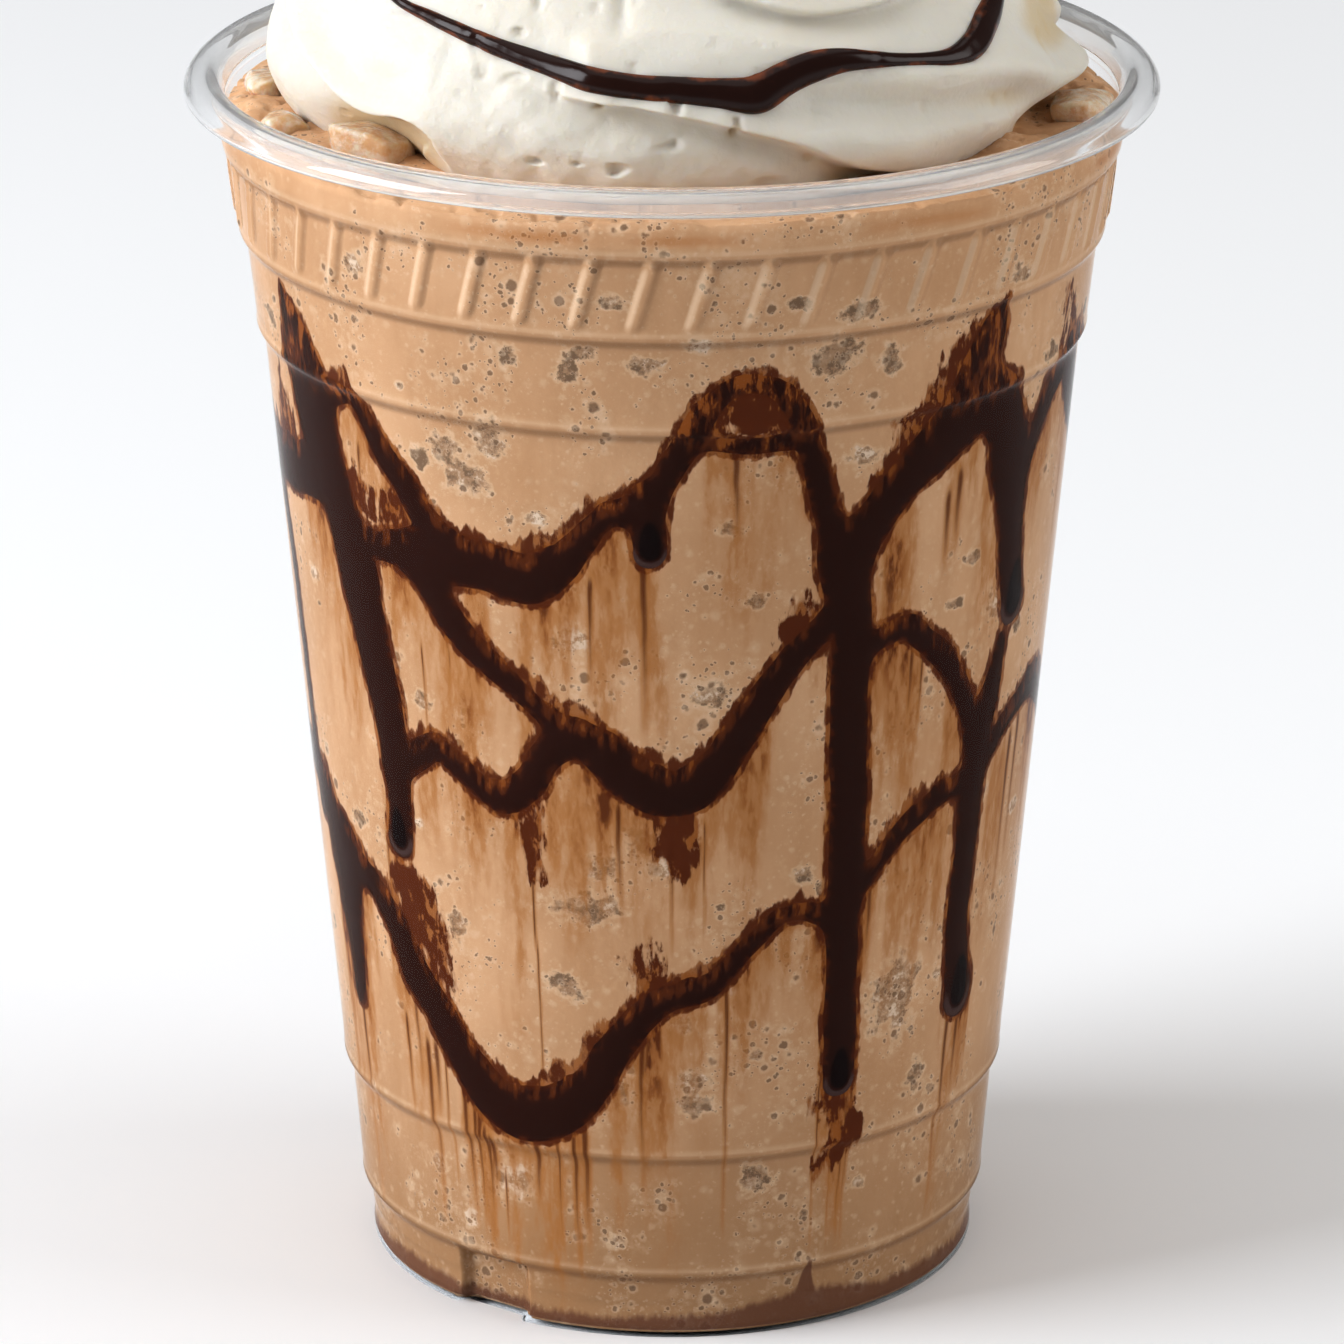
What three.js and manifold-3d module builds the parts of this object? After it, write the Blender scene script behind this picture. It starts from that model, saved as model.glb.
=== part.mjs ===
import * as THREE from "three";
import { mergeVertices } from "three/addons/utils/BufferGeometryUtils.js";
import Module from "manifold-3d";

// Frappe coffee in its clear plastic cup, with whipped cream, chocolate sauce and ice.
// Millimetres, +Z up, the origin at the centre of the foot. The front faces -Y, and
// angles are in degrees round the cup from the front towards +X.

// Driving dimensions
const SIDES = 48;
const GAP = 0.3;
const WALL = 0.6;

// Outer wall of the cup from the foot to the throat, as radius and height
const WALL_LINE = [
  [30.6, 0],
  [31.35, 0.9],
  [31.2, 3.6],
  [32.3, 6.8],
  [33.25, 18],
  [34.1, 20.8],
  [41.15, 97.2],
  [41.95, 99.8],
  [42.8, 107.4],
  [43.6, 109.4],
  [44.45, 116.4],
  [45.4, 119.4],
  [45.5, 123],
];
const CUP_HEIGHT = 126;
const LIP_RADIUS = 49;
const LIP_CROWN_RADIUS = 46.8;
const LIP_EDGE_HEIGHT = 123.8;
const LIP_EDGE_THICKNESS = 0.8;
const PUNT_RADIUS = 24.5;
const PUNT_HEIGHT = 3;
const FOOT_RING_INNER_RADIUS = 26.4;

const RIB_COUNT = 48;
const RIB_WIDTH = 1.4;
const RIB_RELIEF = 0.35;
const RIB_LEAN = 2.8;
const RIB_FOOT_HEIGHT = 110;
const RIB_TOP_HEIGHT = 116.1;

const NOTCH_ANGLES = [-36.3, 143.7];
const NOTCH_WIDTH = 8.4;
const NOTCH_HEIGHT = 6.6;
const NOTCH_RADIUS = 29.8;

const DRINK_INSET = 1.35;
const DRINK_LEVEL = 121.8;
const DRINK_RIPPLE = 0.35;

const SAUCE_INSET = 0.45;
const SAUCE_THICKNESS = 0.4;
const SAUCE_STEP = 8.5;

const CREAM_CENTRE = [1.5, 3.5];
const CREAM_FOOT_HEIGHT = 119.6;
const CREAM_TIER_HEIGHT = 14.5;
const CREAM_GROOVE = 2.4;
const CREAM_FLUTES = 9;
const CREAM_FLUTE_DEPTH = 1.1;
const CREAM_COLUMNS = 40;
const CREAM_ROWS = 21;

// Outline of the cream mound, as radius and height
const CREAM_LINE = [
  [0, 119.6],
  [35.5, 119.6],
  [38.2, 121.4],
  [39.9, 124],
  [40.8, 127],
  [40.2, 130.5],
  [38.2, 134.5],
  [34.5, 140],
  [29, 146],
  [22, 152],
  [14, 158],
  [7, 163],
  [2.4, 166.4],
  [0, 167],
];

// The hollow over the ice at the front left and the fold that flares out at the right:
// angle, height, half width in degrees, half height and how far the surface moves
const CREAM_FEATURES = [
  [-52, 122, 15, 4.5, -4.2],
  [-85, 126, 14, 9, 0.6],
  [40, 122, 12, 4, -2],
  [84, 128, 11, 3, 2.4],
  [78, 123.5, 8, 2.5, -1.5],
];

const DRIZZLE_WIDTH = 2.6;
const DRIZZLE_STEPS = 42;

// Route of the sauce over the cream, as angle and height
const DRIZZLE_ROUTE = [
  [-60, 150],
  [-43, 142],
  [-28, 136.5],
  [-12, 133.5],
  [4, 131.5],
  [16, 131],
  [24, 134],
  [40, 136.5],
  [58, 136.5],
  [68, 143],
  [95, 149],
  [140, 145],
  [180, 138],
  [215, 140],
  [250, 149],
  [300, 157],
  [345, 153],
  [375, 147],
  [405, 150],
  [450, 158],
  [520, 161],
];

// Pieces of ice that stand out of the drink: x, y, height of the middle, length, width,
// thickness and turn
const ICE_CHUNKS = [
  [-29.6, -20.2, 122.4, 9.4, 6, 5.6, -28],
  [-38.6, -10.4, 122, 4.6, 5.4, 3.6, 20],
  [-41.4, 5, 122, 3.8, 8, 3.4, 8],
  [40.9, -4.6, 122.2, 6, 9.6, 4.2, -10],
  [-33.6, 24.6, 121.9, 5, 6.4, 3.6, 35],
  [33.8, 23.2, 121.9, 4.6, 6.2, 3.8, -32],
];

// Chocolate sauce on the inside of the wall. Each stroke is a line of points with the
// angle, the height and the width of the sauce there. The main strokes are repeated in
// mirror image on the back of the cup, and the side strokes are on the front only.
const MAIN_STROKES = [
  // Crossing at the top
  [[-92, 89, 6], [-78, 89, 6], [-62, 92, 7]],
  [[-62, 97, 6], [-52, 98, 5], [-44, 92.5, 5], [-36, 86.5, 6], [-29, 84.5, 7.5],
    [-21, 85, 6.5], [-13, 90, 5], [-4, 91.5, 4.5], [2, 97, 6], [5, 101, 7.5],
    [10, 102.5, 9], [15, 100.5, 7.5], [18.5, 94, 4.5], [22, 87, 6], [27, 82, 7]],
  [[27, 84, 7], [33, 90, 6], [40, 95, 6], [48, 98, 8], [54, 95.5, 7], [60, 87, 7]],
  [[60, 90, 6], [67, 96, 6], [74, 99, 7], [82, 93, 6.5], [92, 89, 6]],
  // Crossing in the middle
  [[-38, 84, 5], [-30, 77, 4.5], [-20, 71, 4.5], [-10, 66.5, 5], [0, 62, 7],
    [9, 66, 5.5], [15, 72.5, 5], [20, 78, 5], [26, 82, 5]],
  // Crossing at the bottom
  [[-92, 57, 6], [-80, 52, 6], [-70, 47, 6], [-58, 46, 6], [-48, 38, 7], [-38, 28, 8],
    [-30, 24.5, 9], [-20, 25.5, 7.5], [-11, 31.5, 6], [-3, 38, 5.5], [8, 40.5, 4.5],
    [16, 46, 4.2], [28, 47, 4.5]],
  // Runs down the wall
  [[-65, 107.5, 2.5], [-62.5, 102, 7], [-61.5, 91, 7.5], [-57, 82, 6.5],
    [-51, 72, 5.4], [-49, 60, 5], [-48, 50.5, 5.6]],
  [[26, 83, 8], [27, 72, 5.8], [28, 50, 5.3], [29, 25, 5.6]],
];
const SIDE_STROKES = [
  [[-52, 83, 5], [-44, 85, 5], [-38, 84, 6]],
  [[46, 98, 8], [48, 104, 7], [49.5, 108, 2.5]],
  [[-48, 59, 4], [-40, 64, 3.8], [-32, 62, 3.8], [-25, 60, 4], [-18, 65, 4],
    [-11, 66, 5]],
  [[28, 77, 4], [36, 79, 4], [44, 74, 3.6], [50, 68, 3.2], [55, 61, 3.5]],
  [[29, 50, 4], [38, 56, 4], [46, 58.5, 4], [55, 58.5, 4]],
  [[56, 60, 4], [65, 65, 4], [75, 66, 4.5], [92, 57, 6]],
  [[-84, 88, 5], [-79, 76, 3.6], [-78, 60, 3.4], [-77, 50, 4.5]],
  [[-70, 47, 5.5], [-69, 38, 5], [-68, 30.5, 5]],
  [[-4, 91, 5.4], [-4, 84.5, 4.8]],
  [[59.5, 90, 8], [60, 80, 6], [61.5, 71.5, 6.2]],
  [[58, 74, 4.6], [56.5, 62, 4.6], [55, 45, 4.6], [55.8, 30.5, 6.8]],
];

const wasm = await Module();
wasm.setup();

const degrees = THREE.MathUtils.degToRad;

function material(color, roughness, opacity = 1) {
  const transparent = opacity < 1;
  return new THREE.MeshStandardMaterial({ color, roughness, metalness: 0, opacity, transparent });
}

const materials = {
  cup: material(0xeef2f4, 0.08, 0.3),
  drink: material(0xb28762, 0.45),
  sauce: material(0x3a1d16, 0.2),
  cream: material(0xfaf5ea, 0.6),
  ice: material(0xd2b493, 0.2),
};

// A closed geometry as a solid that can be joined and cut
function toSolid(geometry) {
  const bare = geometry.clone();
  bare.deleteAttribute("normal");
  bare.deleteAttribute("uv");
  const merged = mergeVertices(bare, 1e-4);
  const index = merged.index.array;
  const faces = [];
  for (let i = 0; i < index.length; i += 3) {
    const [a, b, c] = [index[i], index[i + 1], index[i + 2]];
    if (a !== b && b !== c && c !== a) faces.push(a, b, c);
  }
  return new wasm.Manifold(
    new wasm.Mesh({
      numProp: 3,
      vertProperties: merged.attributes.position.array,
      triVerts: new Uint32Array(faces),
    }),
  );
}

function toMesh(name, solid, look) {
  const mesh = solid.getMesh();
  const geometry = new THREE.BufferGeometry();
  geometry.setAttribute("position", new THREE.BufferAttribute(mesh.vertProperties, 3));
  geometry.setIndex(new THREE.BufferAttribute(mesh.triVerts, 1));
  geometry.computeVertexNormals();
  const piece = new THREE.Mesh(geometry, look);
  piece.name = name;
  return piece;
}

// The point at an angle, radius and height
function around(angle, radius, height) {
  const turn = degrees(angle);
  return new THREE.Vector3(radius * Math.sin(turn), -radius * Math.cos(turn), height);
}

// Turns a profile of radius and height pairs round the Z axis
function revolve(profile) {
  const points = profile.map(([radius, height]) => new THREE.Vector2(radius, height));
  return new THREE.LatheGeometry(points, SIDES).rotateX(Math.PI / 2);
}

// Moves each point of a closed grid to place(u, v), where u goes once round and v goes
// from the lower pole at 0 to the upper pole at 1
function wrap(columns, rows, place) {
  const grid = new THREE.SphereGeometry(1, columns, rows);
  const { position } = grid.attributes;
  for (let row = 0; row <= rows; row += 1) {
    for (let column = 0; column <= columns; column += 1) {
      const { x, y, z } = place((column % columns) / columns, 1 - row / rows);
      position.setXYZ(row * (columns + 1) + column, x, y, z);
    }
  }
  return grid;
}

// Value at x on the straight lines between [value, x] pairs, which may run in any order
// of value but rise in x
function along(line, x) {
  const next = line.findIndex(([, at]) => at >= x);
  if (next < 0) return line.at(-1)[0];
  if (next === 0) return line[0][0];
  const [[from, start], [to, end]] = [line[next - 1], line[next]];
  return THREE.MathUtils.mapLinear(x, start, end, from, to);
}

// Inner face of the cup from the axis to the throat, moved inwards by inset
function innerLine(inset) {
  const thickness = WALL + inset;
  const floor = PUNT_HEIGHT + thickness;
  const wall = WALL_LINE.slice(1).map(([radius, height]) => [radius - thickness, height]);
  return [
    [0, floor],
    [PUNT_RADIUS + thickness * 0.4, floor],
    [FOOT_RING_INNER_RADIUS + thickness, thickness],
    [WALL_LINE[0][0] - thickness, thickness],
    ...wall.slice(1),
  ];
}

// One box at each notch of the foot, whose panel lies at the notch radius less inset
function cutNotches(solid, inset) {
  const depth = 6;
  return NOTCH_ANGLES.reduce((rest, angle) => {
    const width = NOTCH_WIDTH + 2 * inset;
    const height = NOTCH_HEIGHT + inset + 1;
    const box = new THREE.BoxGeometry(width, depth, height);
    box.translate(0, -(NOTCH_RADIUS - inset + depth / 2), height / 2 - 1);
    box.rotateZ(degrees(angle));
    return rest.subtract(toSolid(box));
  }, solid);
}

// A slanted rib on the band under the lip: a bar half sunk in the wall
function rib(index) {
  const middle = (RIB_FOOT_HEIGHT + RIB_TOP_HEIGHT) / 2;
  const height = RIB_TOP_HEIGHT - RIB_FOOT_HEIGHT;
  const radius = along(WALL_LINE, middle);
  const flare = Math.atan2(
    along(WALL_LINE, RIB_TOP_HEIGHT) - along(WALL_LINE, RIB_FOOT_HEIGHT),
    height,
  );
  const lean = Math.atan2(radius * degrees(RIB_LEAN), height);
  const bar = new THREE.BoxGeometry(RIB_WIDTH, 2 * RIB_RELIEF, height);
  bar.rotateY(lean);
  bar.rotateX(flare);
  bar.translate(0, -radius, middle);
  bar.rotateZ(degrees(((index + 0.5) * 360) / RIB_COUNT));
  return toSolid(bar);
}

function cup() {
  const outside = [
    [0, PUNT_HEIGHT],
    [PUNT_RADIUS, PUNT_HEIGHT],
    [FOOT_RING_INNER_RADIUS, 0],
    ...WALL_LINE,
    [46.2, 124.6],
    [LIP_RADIUS - LIP_EDGE_THICKNESS, LIP_EDGE_HEIGHT],
    [LIP_RADIUS, LIP_EDGE_HEIGHT + 0.3],
    [48.4, 125.3],
    [LIP_CROWN_RADIUS, CUP_HEIGHT],
    [0, CUP_HEIGHT],
  ];
  const inside = [
    ...innerLine(0),
    [45.2, 124.9],
    [LIP_CROWN_RADIUS - 0.6, CUP_HEIGHT],
    [LIP_CROWN_RADIUS - 0.6, CUP_HEIGHT + 1],
    [0, CUP_HEIGHT + 1],
  ];
  const body = cutNotches(toSolid(revolve(outside)), 0);
  const cavity = cutNotches(toSolid(revolve(inside)), WALL);
  const ribs = Array.from({ length: RIB_COUNT }, (_, index) => rib(index));
  return ribs.reduce((whole, bar) => whole.add(bar), body.subtract(cavity));
}

// A flat bar that follows one stroke of sauce on the wall
function sauceStroke(points) {
  const route = new THREE.CatmullRomCurve3(
    points.map(([angle, height, width]) => new THREE.Vector3(angle, height, width)),
    false,
    "centripetal",
  );
  const faceRadius = (height) => along(WALL_LINE, height) - WALL - SAUCE_INSET;
  const spot = (angle, height) => around(angle, faceRadius(height), height);
  const samples = route.getPoints(60);
  let length = 0;
  for (let i = 1; i < samples.length; i += 1) {
    const [a, b] = [samples[i - 1], samples[i]];
    length += spot(a.x, a.y).distanceTo(spot(b.x, b.y));
  }
  const steps = Math.max(2, Math.round(length / SAUCE_STEP));
  const bar = new THREE.BoxGeometry(1, 1, 1, 1, 1, steps);
  const { position } = bar.attributes;
  for (let i = 0; i < position.count; i += 1) {
    const share = position.getZ(i) + 0.5;
    const here = route.getPoint(share);
    const ahead = route.getPoint(Math.min(1, share + 0.01));
    const behind = route.getPoint(Math.max(0, share - 0.01));
    const perDegree = degrees(faceRadius(here.y));
    const run = Math.hypot((ahead.x - behind.x) * perDegree, ahead.y - behind.y);
    const across = [
      -(ahead.y - behind.y) / run / perDegree,
      ((ahead.x - behind.x) * perDegree) / run,
    ];
    const toEnd = Math.min(share, 1 - share) * length;
    const half = (here.z / 2) * Math.min(1, 0.5 + toEnd / here.z);
    const side = 2 * position.getX(i) * half;
    const angle = here.x + across[0] * side;
    const height = here.y + across[1] * side;
    const depth = position.getY(i) > 0 ? 0 : SAUCE_THICKNESS;
    const { x, y, z } = around(angle, faceRadius(height) - depth, height);
    position.setXYZ(i, x, y, z);
  }
  return toSolid(bar);
}

// The level of the drink, which rises and falls a little round the cup
function drinkLevel(angle, radius) {
  const turn = degrees(angle);
  const ripple = Math.sin(5 * turn + 1) + 0.6 * Math.sin(11 * turn + radius * 0.9);
  return DRINK_LEVEL + DRINK_RIPPLE * ripple;
}

function drinkBody() {
  const wall = innerLine(DRINK_INSET).filter(([, height]) => height < DRINK_LEVEL - 1);
  const rim = along(WALL_LINE, DRINK_LEVEL) - WALL - DRINK_INSET;
  const surface = [rim, rim - 2, rim - 5];
  const rows = wall.length + surface.length;
  return wrap(SIDES, rows, (u, v) => {
    const row = Math.round(v * rows);
    const angle = u * 360;
    if (row < wall.length) return around(angle, ...wall[row]);
    if (row === rows) return around(angle, 0, DRINK_LEVEL);
    const radius = surface[row - wall.length];
    return around(angle, radius, drinkLevel(angle, radius));
  });
}

// A bump that is 1 at the middle and fades to 0 over a few half widths
function bump(distance, halfWidth) {
  return Math.exp(-((distance / halfWidth) ** 2));
}

// The cream's surface at an angle and at a share of its outline from the foot to the top
function creamPoint(angle, share, grow = 0) {
  const place = share * (CREAM_LINE.length - 1);
  const index = Math.min(Math.floor(place), CREAM_LINE.length - 2);
  const mix = place - index;
  const [r0, z0] = CREAM_LINE[index];
  const [r1, z1] = CREAM_LINE[index + 1];
  const radius = THREE.MathUtils.lerp(r0, r1, mix);
  const height = THREE.MathUtils.lerp(z0, z1, mix);
  const lift = Math.max(0, height - CREAM_LINE[2][1]);
  const fade = THREE.MathUtils.smoothstep(radius, 1, 14);
  const foot = THREE.MathUtils.smoothstep(radius, 34, 38) + Math.sign(lift);
  const turns = lift / CREAM_TIER_HEIGHT + angle / 360;
  const groove = Math.abs(Math.cos(Math.PI * (turns - 0.1))) ** 6;
  const flute = Math.sin(degrees(CREAM_FLUTES * angle + 300 * (lift / CREAM_TIER_HEIGHT)));
  let out = -CREAM_GROOVE * groove * Math.sign(lift) + CREAM_FLUTE_DEPTH * flute;
  for (const [at, level, halfWidth, halfHeight, move] of CREAM_FEATURES) {
    const away = ((angle - at + 540) % 360) - 180;
    out += move * bump(away, halfWidth) * bump(height - level, halfHeight);
  }
  const point = around(angle, Math.max(0, radius + out * fade * Math.min(1, foot)), height);
  const stretch = share > 0 && share < 1 ? 1 + grow / Math.max(radius, 1) : 1;
  point.x = point.x * stretch + CREAM_CENTRE[0];
  point.y = point.y * stretch + CREAM_CENTRE[1];
  point.z += height === CREAM_FOOT_HEIGHT ? -grow : 0;
  return point;
}

// The share of the outline at which the cream reaches a height
function creamShare(height) {
  const last = CREAM_LINE.length - 1;
  const next = CREAM_LINE.findIndex(([, level], index) => index > 1 && level >= height);
  const [low, high] = [CREAM_LINE[next - 1][1], CREAM_LINE[next][1]];
  return (next - 1 + (height - low) / (high - low)) / last;
}

function creamBody(grow) {
  return wrap(CREAM_COLUMNS, CREAM_ROWS, (u, v) => creamPoint(u * 360, v, grow));
}

// The thick line of sauce on the cream, half sunk in it
function drizzle() {
  const points = DRIZZLE_ROUTE.map(([angle, height]) => creamPoint(angle, creamShare(height)));
  const route = new THREE.CatmullRomCurve3(points, false, "centripetal");
  const lies = route.getSpacedPoints(DRIZZLE_STEPS).map((point) => {
    const [x, y] = [point.x - CREAM_CENTRE[0], point.y - CREAM_CENTRE[1]];
    const angle = THREE.MathUtils.radToDeg(Math.atan2(x, -y));
    return creamPoint(angle, creamShare(point.z));
  });
  const section = new THREE.Shape();
  section.absellipse(0, 0, DRIZZLE_WIDTH / 2, DRIZZLE_WIDTH / 2, 0, 2 * Math.PI);
  return new THREE.ExtrudeGeometry(section, {
    curveSegments: 3,
    steps: DRIZZLE_STEPS,
    extrudePath: new THREE.CatmullRomCurve3(lies, false, "centripetal"),
  });
}

// A broken piece of ice: a ball with flattened, uneven sides
function iceChunk([x, y, z, length, width, thickness, turn], index, grow = 0) {
  const ball = new THREE.IcosahedronGeometry(1, 1);
  const { position } = ball.attributes;
  const corner = new THREE.Vector3();
  for (let i = 0; i < position.count; i += 1) {
    corner.fromBufferAttribute(position, i);
    const uneven = Math.sin(5 * corner.x + 3 * index) + Math.sin(6 * corner.y + 4 * corner.z);
    corner.multiplyScalar(0.94 + 0.07 * uneven);
    position.setXYZ(i, corner.x, corner.y, corner.z);
  }
  ball.scale(length / 2 + grow, width / 2 + grow, thickness / 2 + grow);
  ball.rotateZ(degrees(turn));
  ball.translate(x, y, z);
  return ball;
}

function wallSauce() {
  const back = MAIN_STROKES.map((stroke) =>
    stroke.map(([angle, height, width]) => [180 - angle, height, width]).reverse(),
  );
  const [first, ...others] = [...MAIN_STROKES, ...SIDE_STROKES, ...back].map(sauceStroke);
  return others.reduce((whole, stroke) => whole.add(stroke), first);
}

function drink() {
  const core = cutNotches(toSolid(drinkBody()), WALL + DRINK_INSET);
  const sockets = ICE_CHUNKS.map((chunk, index) => toSolid(iceChunk(chunk, index, GAP)));
  return sockets.reduce((rest, socket) => rest.subtract(socket), core)
    .subtract(toSolid(creamBody(GAP)));
}

function whippedCream() {
  const sockets = ICE_CHUNKS.map((chunk, index) => toSolid(iceChunk(chunk, index, GAP)));
  const swirl = toSolid(creamBody(0)).add(toSolid(drizzle()));
  return sockets.reduce((rest, socket) => rest.subtract(socket), swirl);
}

const frappe = new THREE.Group();
frappe.add(toMesh("cup", cup(), materials.cup));
frappe.add(toMesh("drink", drink(), materials.drink));
frappe.add(toMesh("wall_sauce", wallSauce(), materials.sauce));
frappe.add(toMesh("whipped_cream", whippedCream(), materials.cream));
ICE_CHUNKS.forEach((chunk, index) => {
  const piece = toSolid(iceChunk(chunk, index));
  frappe.add(toMesh(`ice_chunk_${index + 1}`, piece, materials.ice));
});

export default frappe;
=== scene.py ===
import math

import bpy
import numpy as np
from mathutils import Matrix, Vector


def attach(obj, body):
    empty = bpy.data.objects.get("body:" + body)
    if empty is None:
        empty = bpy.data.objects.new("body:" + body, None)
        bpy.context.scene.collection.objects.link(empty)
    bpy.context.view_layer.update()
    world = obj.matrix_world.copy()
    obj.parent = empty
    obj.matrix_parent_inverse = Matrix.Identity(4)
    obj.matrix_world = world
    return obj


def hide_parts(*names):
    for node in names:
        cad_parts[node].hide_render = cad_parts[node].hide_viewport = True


# Frappe coffee in a clear cup: looks of the cup, drink, sauce, cream and ice.
# Lengths are in millimetres until a mesh is made. Angles are in degrees round the cup
# from the front, which faces -Y, towards +X.

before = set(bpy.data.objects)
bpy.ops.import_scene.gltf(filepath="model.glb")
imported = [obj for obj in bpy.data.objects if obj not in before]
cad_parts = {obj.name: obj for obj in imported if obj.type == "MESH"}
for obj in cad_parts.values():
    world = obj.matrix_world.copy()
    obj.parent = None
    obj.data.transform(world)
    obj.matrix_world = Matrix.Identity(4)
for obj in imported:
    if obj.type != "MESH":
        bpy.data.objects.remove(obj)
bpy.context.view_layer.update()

MM = 0.001
COLUMNS = 960
WALL = 0.6
# How deep the drink and the sauce reach into the wall, and how far the sauce's back lies
# behind the wall's inner side
DRINK_SINK = 0.12
SAUCE_RELIEF = 0.34
SAUCE_BACK = 0.25
# Length of one degree round the wall, and the rather shorter ones that strokes and thin
# streaks were traced with
DEGREE = 0.66
STROKE_DEGREE = 0.64
STREAK_DEGREE = 0.62
# Radius at which noise over the wall is read
NOISE_RADIUS = 38.0
# Depths that stand for a place far outside all sauce, and far outside one stroke
OUTSIDE = -3
STROKE_OUTSIDE = -9.0

# Outer wall of the cup from the foot to the throat, as radius and height
WALL_LINE = np.array([
    [30.6, 0], [31.35, 0.9], [31.2, 3.6], [32.3, 6.8], [33.25, 18], [34.1, 20.8],
    [41.15, 97.2], [41.95, 99.8], [42.8, 107.4], [43.6, 109.4], [44.45, 116.4],
    [45.4, 119.4], [45.5, 123],
])
# The rolled lip, a thin shell, from the outer wall out to its edge and over to the inner wall
LIP_LINE = np.array([
    [45.55, 123.6], [45.7, 124.3], [46.1, 124.95], [46.7, 125.3], [47.4, 125.15], [48.0, 124.75],
    [48.35, 124.2], [48.45, 123.75], [48.65, 123.55], [48.9, 123.65], [48.98, 124.0],
    [48.9, 124.5], [48.6, 125.0], [48.1, 125.45], [47.5, 125.8], [46.8, 125.98], [46.2, 125.9],
    [45.7, 125.6], [45.35, 125.1], [45.1, 124.5], [44.97, 123.8], [44.92, 123.2],
])
# Steps of the wall, as foot and top height: each falls away steeply just under its top
WALL_STEPS = [(4.2, 7.3), (18, 20.9), (97.2, 99.8), (107.4, 109.7), (116.0, 118.3)]
STEP_BEAD = 0.1
PUNT_RADIUS = 24.5
PUNT_HEIGHT = 3
FOOT_RING_INNER_RADIUS = 26.4
FOOT_RADIUS = 31
THROAT_RADIUS = 45.9
LIP_FOOT_HEIGHT = 122.3

RIB_COUNT = 48
RIB_RADIUS = 44
RIB_HALF_WIDTH = 0.62
RIB_RELIEF = 0.32
RIB_LEAN = 2.8
RIB_FOOT_HEIGHT = 110.3
RIB_TOP_HEIGHT = 117.6

NOTCH_ANGLES = (-36.3, 143.7)
NOTCH_HALF_WIDTH = 4.2
NOTCH_HEIGHT = 6.6
NOTCH_RADIUS = 29.8

DRINK_LEVEL = 121.8

# Sauce on the inside of the wall: lines of points with angle, height and width
MAIN_STROKES = [
    [(-92, 87.5, 6), (-80, 87.5, 6), (-72, 87.5, 6.5), (-63, 88.5, 6)],
    [(-61, 97.5, 4.4), (-54, 99, 3.2), (-49.7, 98.6, 2.8), (-45.1, 94.2, 3.3), (-40.8, 91.2, 3.6),
     (-37.7, 88.2, 4), (-34.1, 85.6, 4.8), (-28.8, 84.4, 5), (-24, 83.5, 5.6), (-19.9, 83.7, 5.6),
     (-15.7, 85.8, 4.5), (-12.6, 88.4, 3.5), (-8.6, 91.1, 3.2), (-4.4, 91.7, 3.6),
     (-1.4, 94.4, 3.1), (1.4, 98.1, 3.3), (4, 101.6, 3), (6.9, 104, 2.6), (10.6, 104.9, 2.4),
     (14.4, 103.9, 2.6), (17.1, 101.4, 3), (19.1, 98.2, 2.9), (20.6, 93.6, 2.9),
     (22.7, 89.4, 3.5), (25.8, 85.1, 4.9)],
    [(25.8, 85.1, 4.9), (29.5, 88.3, 4.6), (33.4, 92, 5.4), (38.7, 95, 6), (44.5, 97.4, 6.7),
     (48.6, 99, 6.9), (54, 96, 6.9), (56.4, 91.6, 6.8), (58, 86.5, 5.8)],
    [(60, 89, 3.5), (66, 95, 4), (70, 97.5, 4.5), (75, 99, 6), (82, 93, 6.5), (92, 89, 6)],
    [(-46.2, 59.5, 2.6), (-42.9, 61.7, 3.4), (-38.3, 63.3, 3.4), (-32, 60.8, 3.4),
     (-26.1, 59.4, 3.8), (-21.8, 61.4, 3.8), (-19.1, 64.7, 3.8), (-15.3, 66.6, 4.5),
     (-11.4, 66.1, 5), (-6.3, 63, 5.6), (-0.6, 61.3, 5.8), (4.2, 62.3, 5.2), (7.8, 65.1, 4.5),
     (12.2, 69.5, 4.1), (16.6, 74.1, 3.6), (20.7, 77.5, 3.3), (25, 80, 3)],
    [(-92, 57, 5), (-80, 54, 4.5), (-73.1, 51.5, 5.6), (-67.4, 47, 4.7), (-57.9, 45.6, 3.8),
     (-51.3, 41.7, 4.3), (-47.7, 37.4, 4.8), (-42.4, 33.5, 4.8), (-37.5, 29.3, 5.1),
     (-32.6, 26.2, 5.9), (-26.9, 24.4, 6.4), (-20.1, 25.4, 6.4), (-13.9, 28.6, 5),
     (-9.5, 32.9, 4.2), (-5.2, 36.4, 3.8), (-0.6, 38.7, 3.6), (4.5, 39.8, 3.4), (8.6, 41.7, 2.8),
     (12.5, 44.5, 2.5), (16.5, 47, 2.4), (20.7, 47.5, 2.4), (27, 46, 2.8)],
    [(-66.1, 107.1, 1.4), (-63.8, 104.2, 5), (-62.3, 101.4, 7.6), (-61.5, 97.3, 10.1),
     (-60.1, 93, 8.4), (-57.5, 88, 7.2), (-55.1, 84.6, 7), (-53.1, 80, 7.4), (-51.7, 74.9, 6.6),
     (-49.3, 67.8, 5.6), (-48.1, 61.5, 4.6), (-47.7, 56.1, 4.2), (-48.2, 51.8, 4.3)],
    [(25.2, 86, 6), (25.8, 82, 5.6), (26.9, 76.5, 5), (27.4, 67.8, 4.8), (28.1, 56.9, 4.6),
     (28.4, 48.1, 4.4), (28.7, 36.9, 4), (29.3, 28, 4.3)],
]
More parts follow.
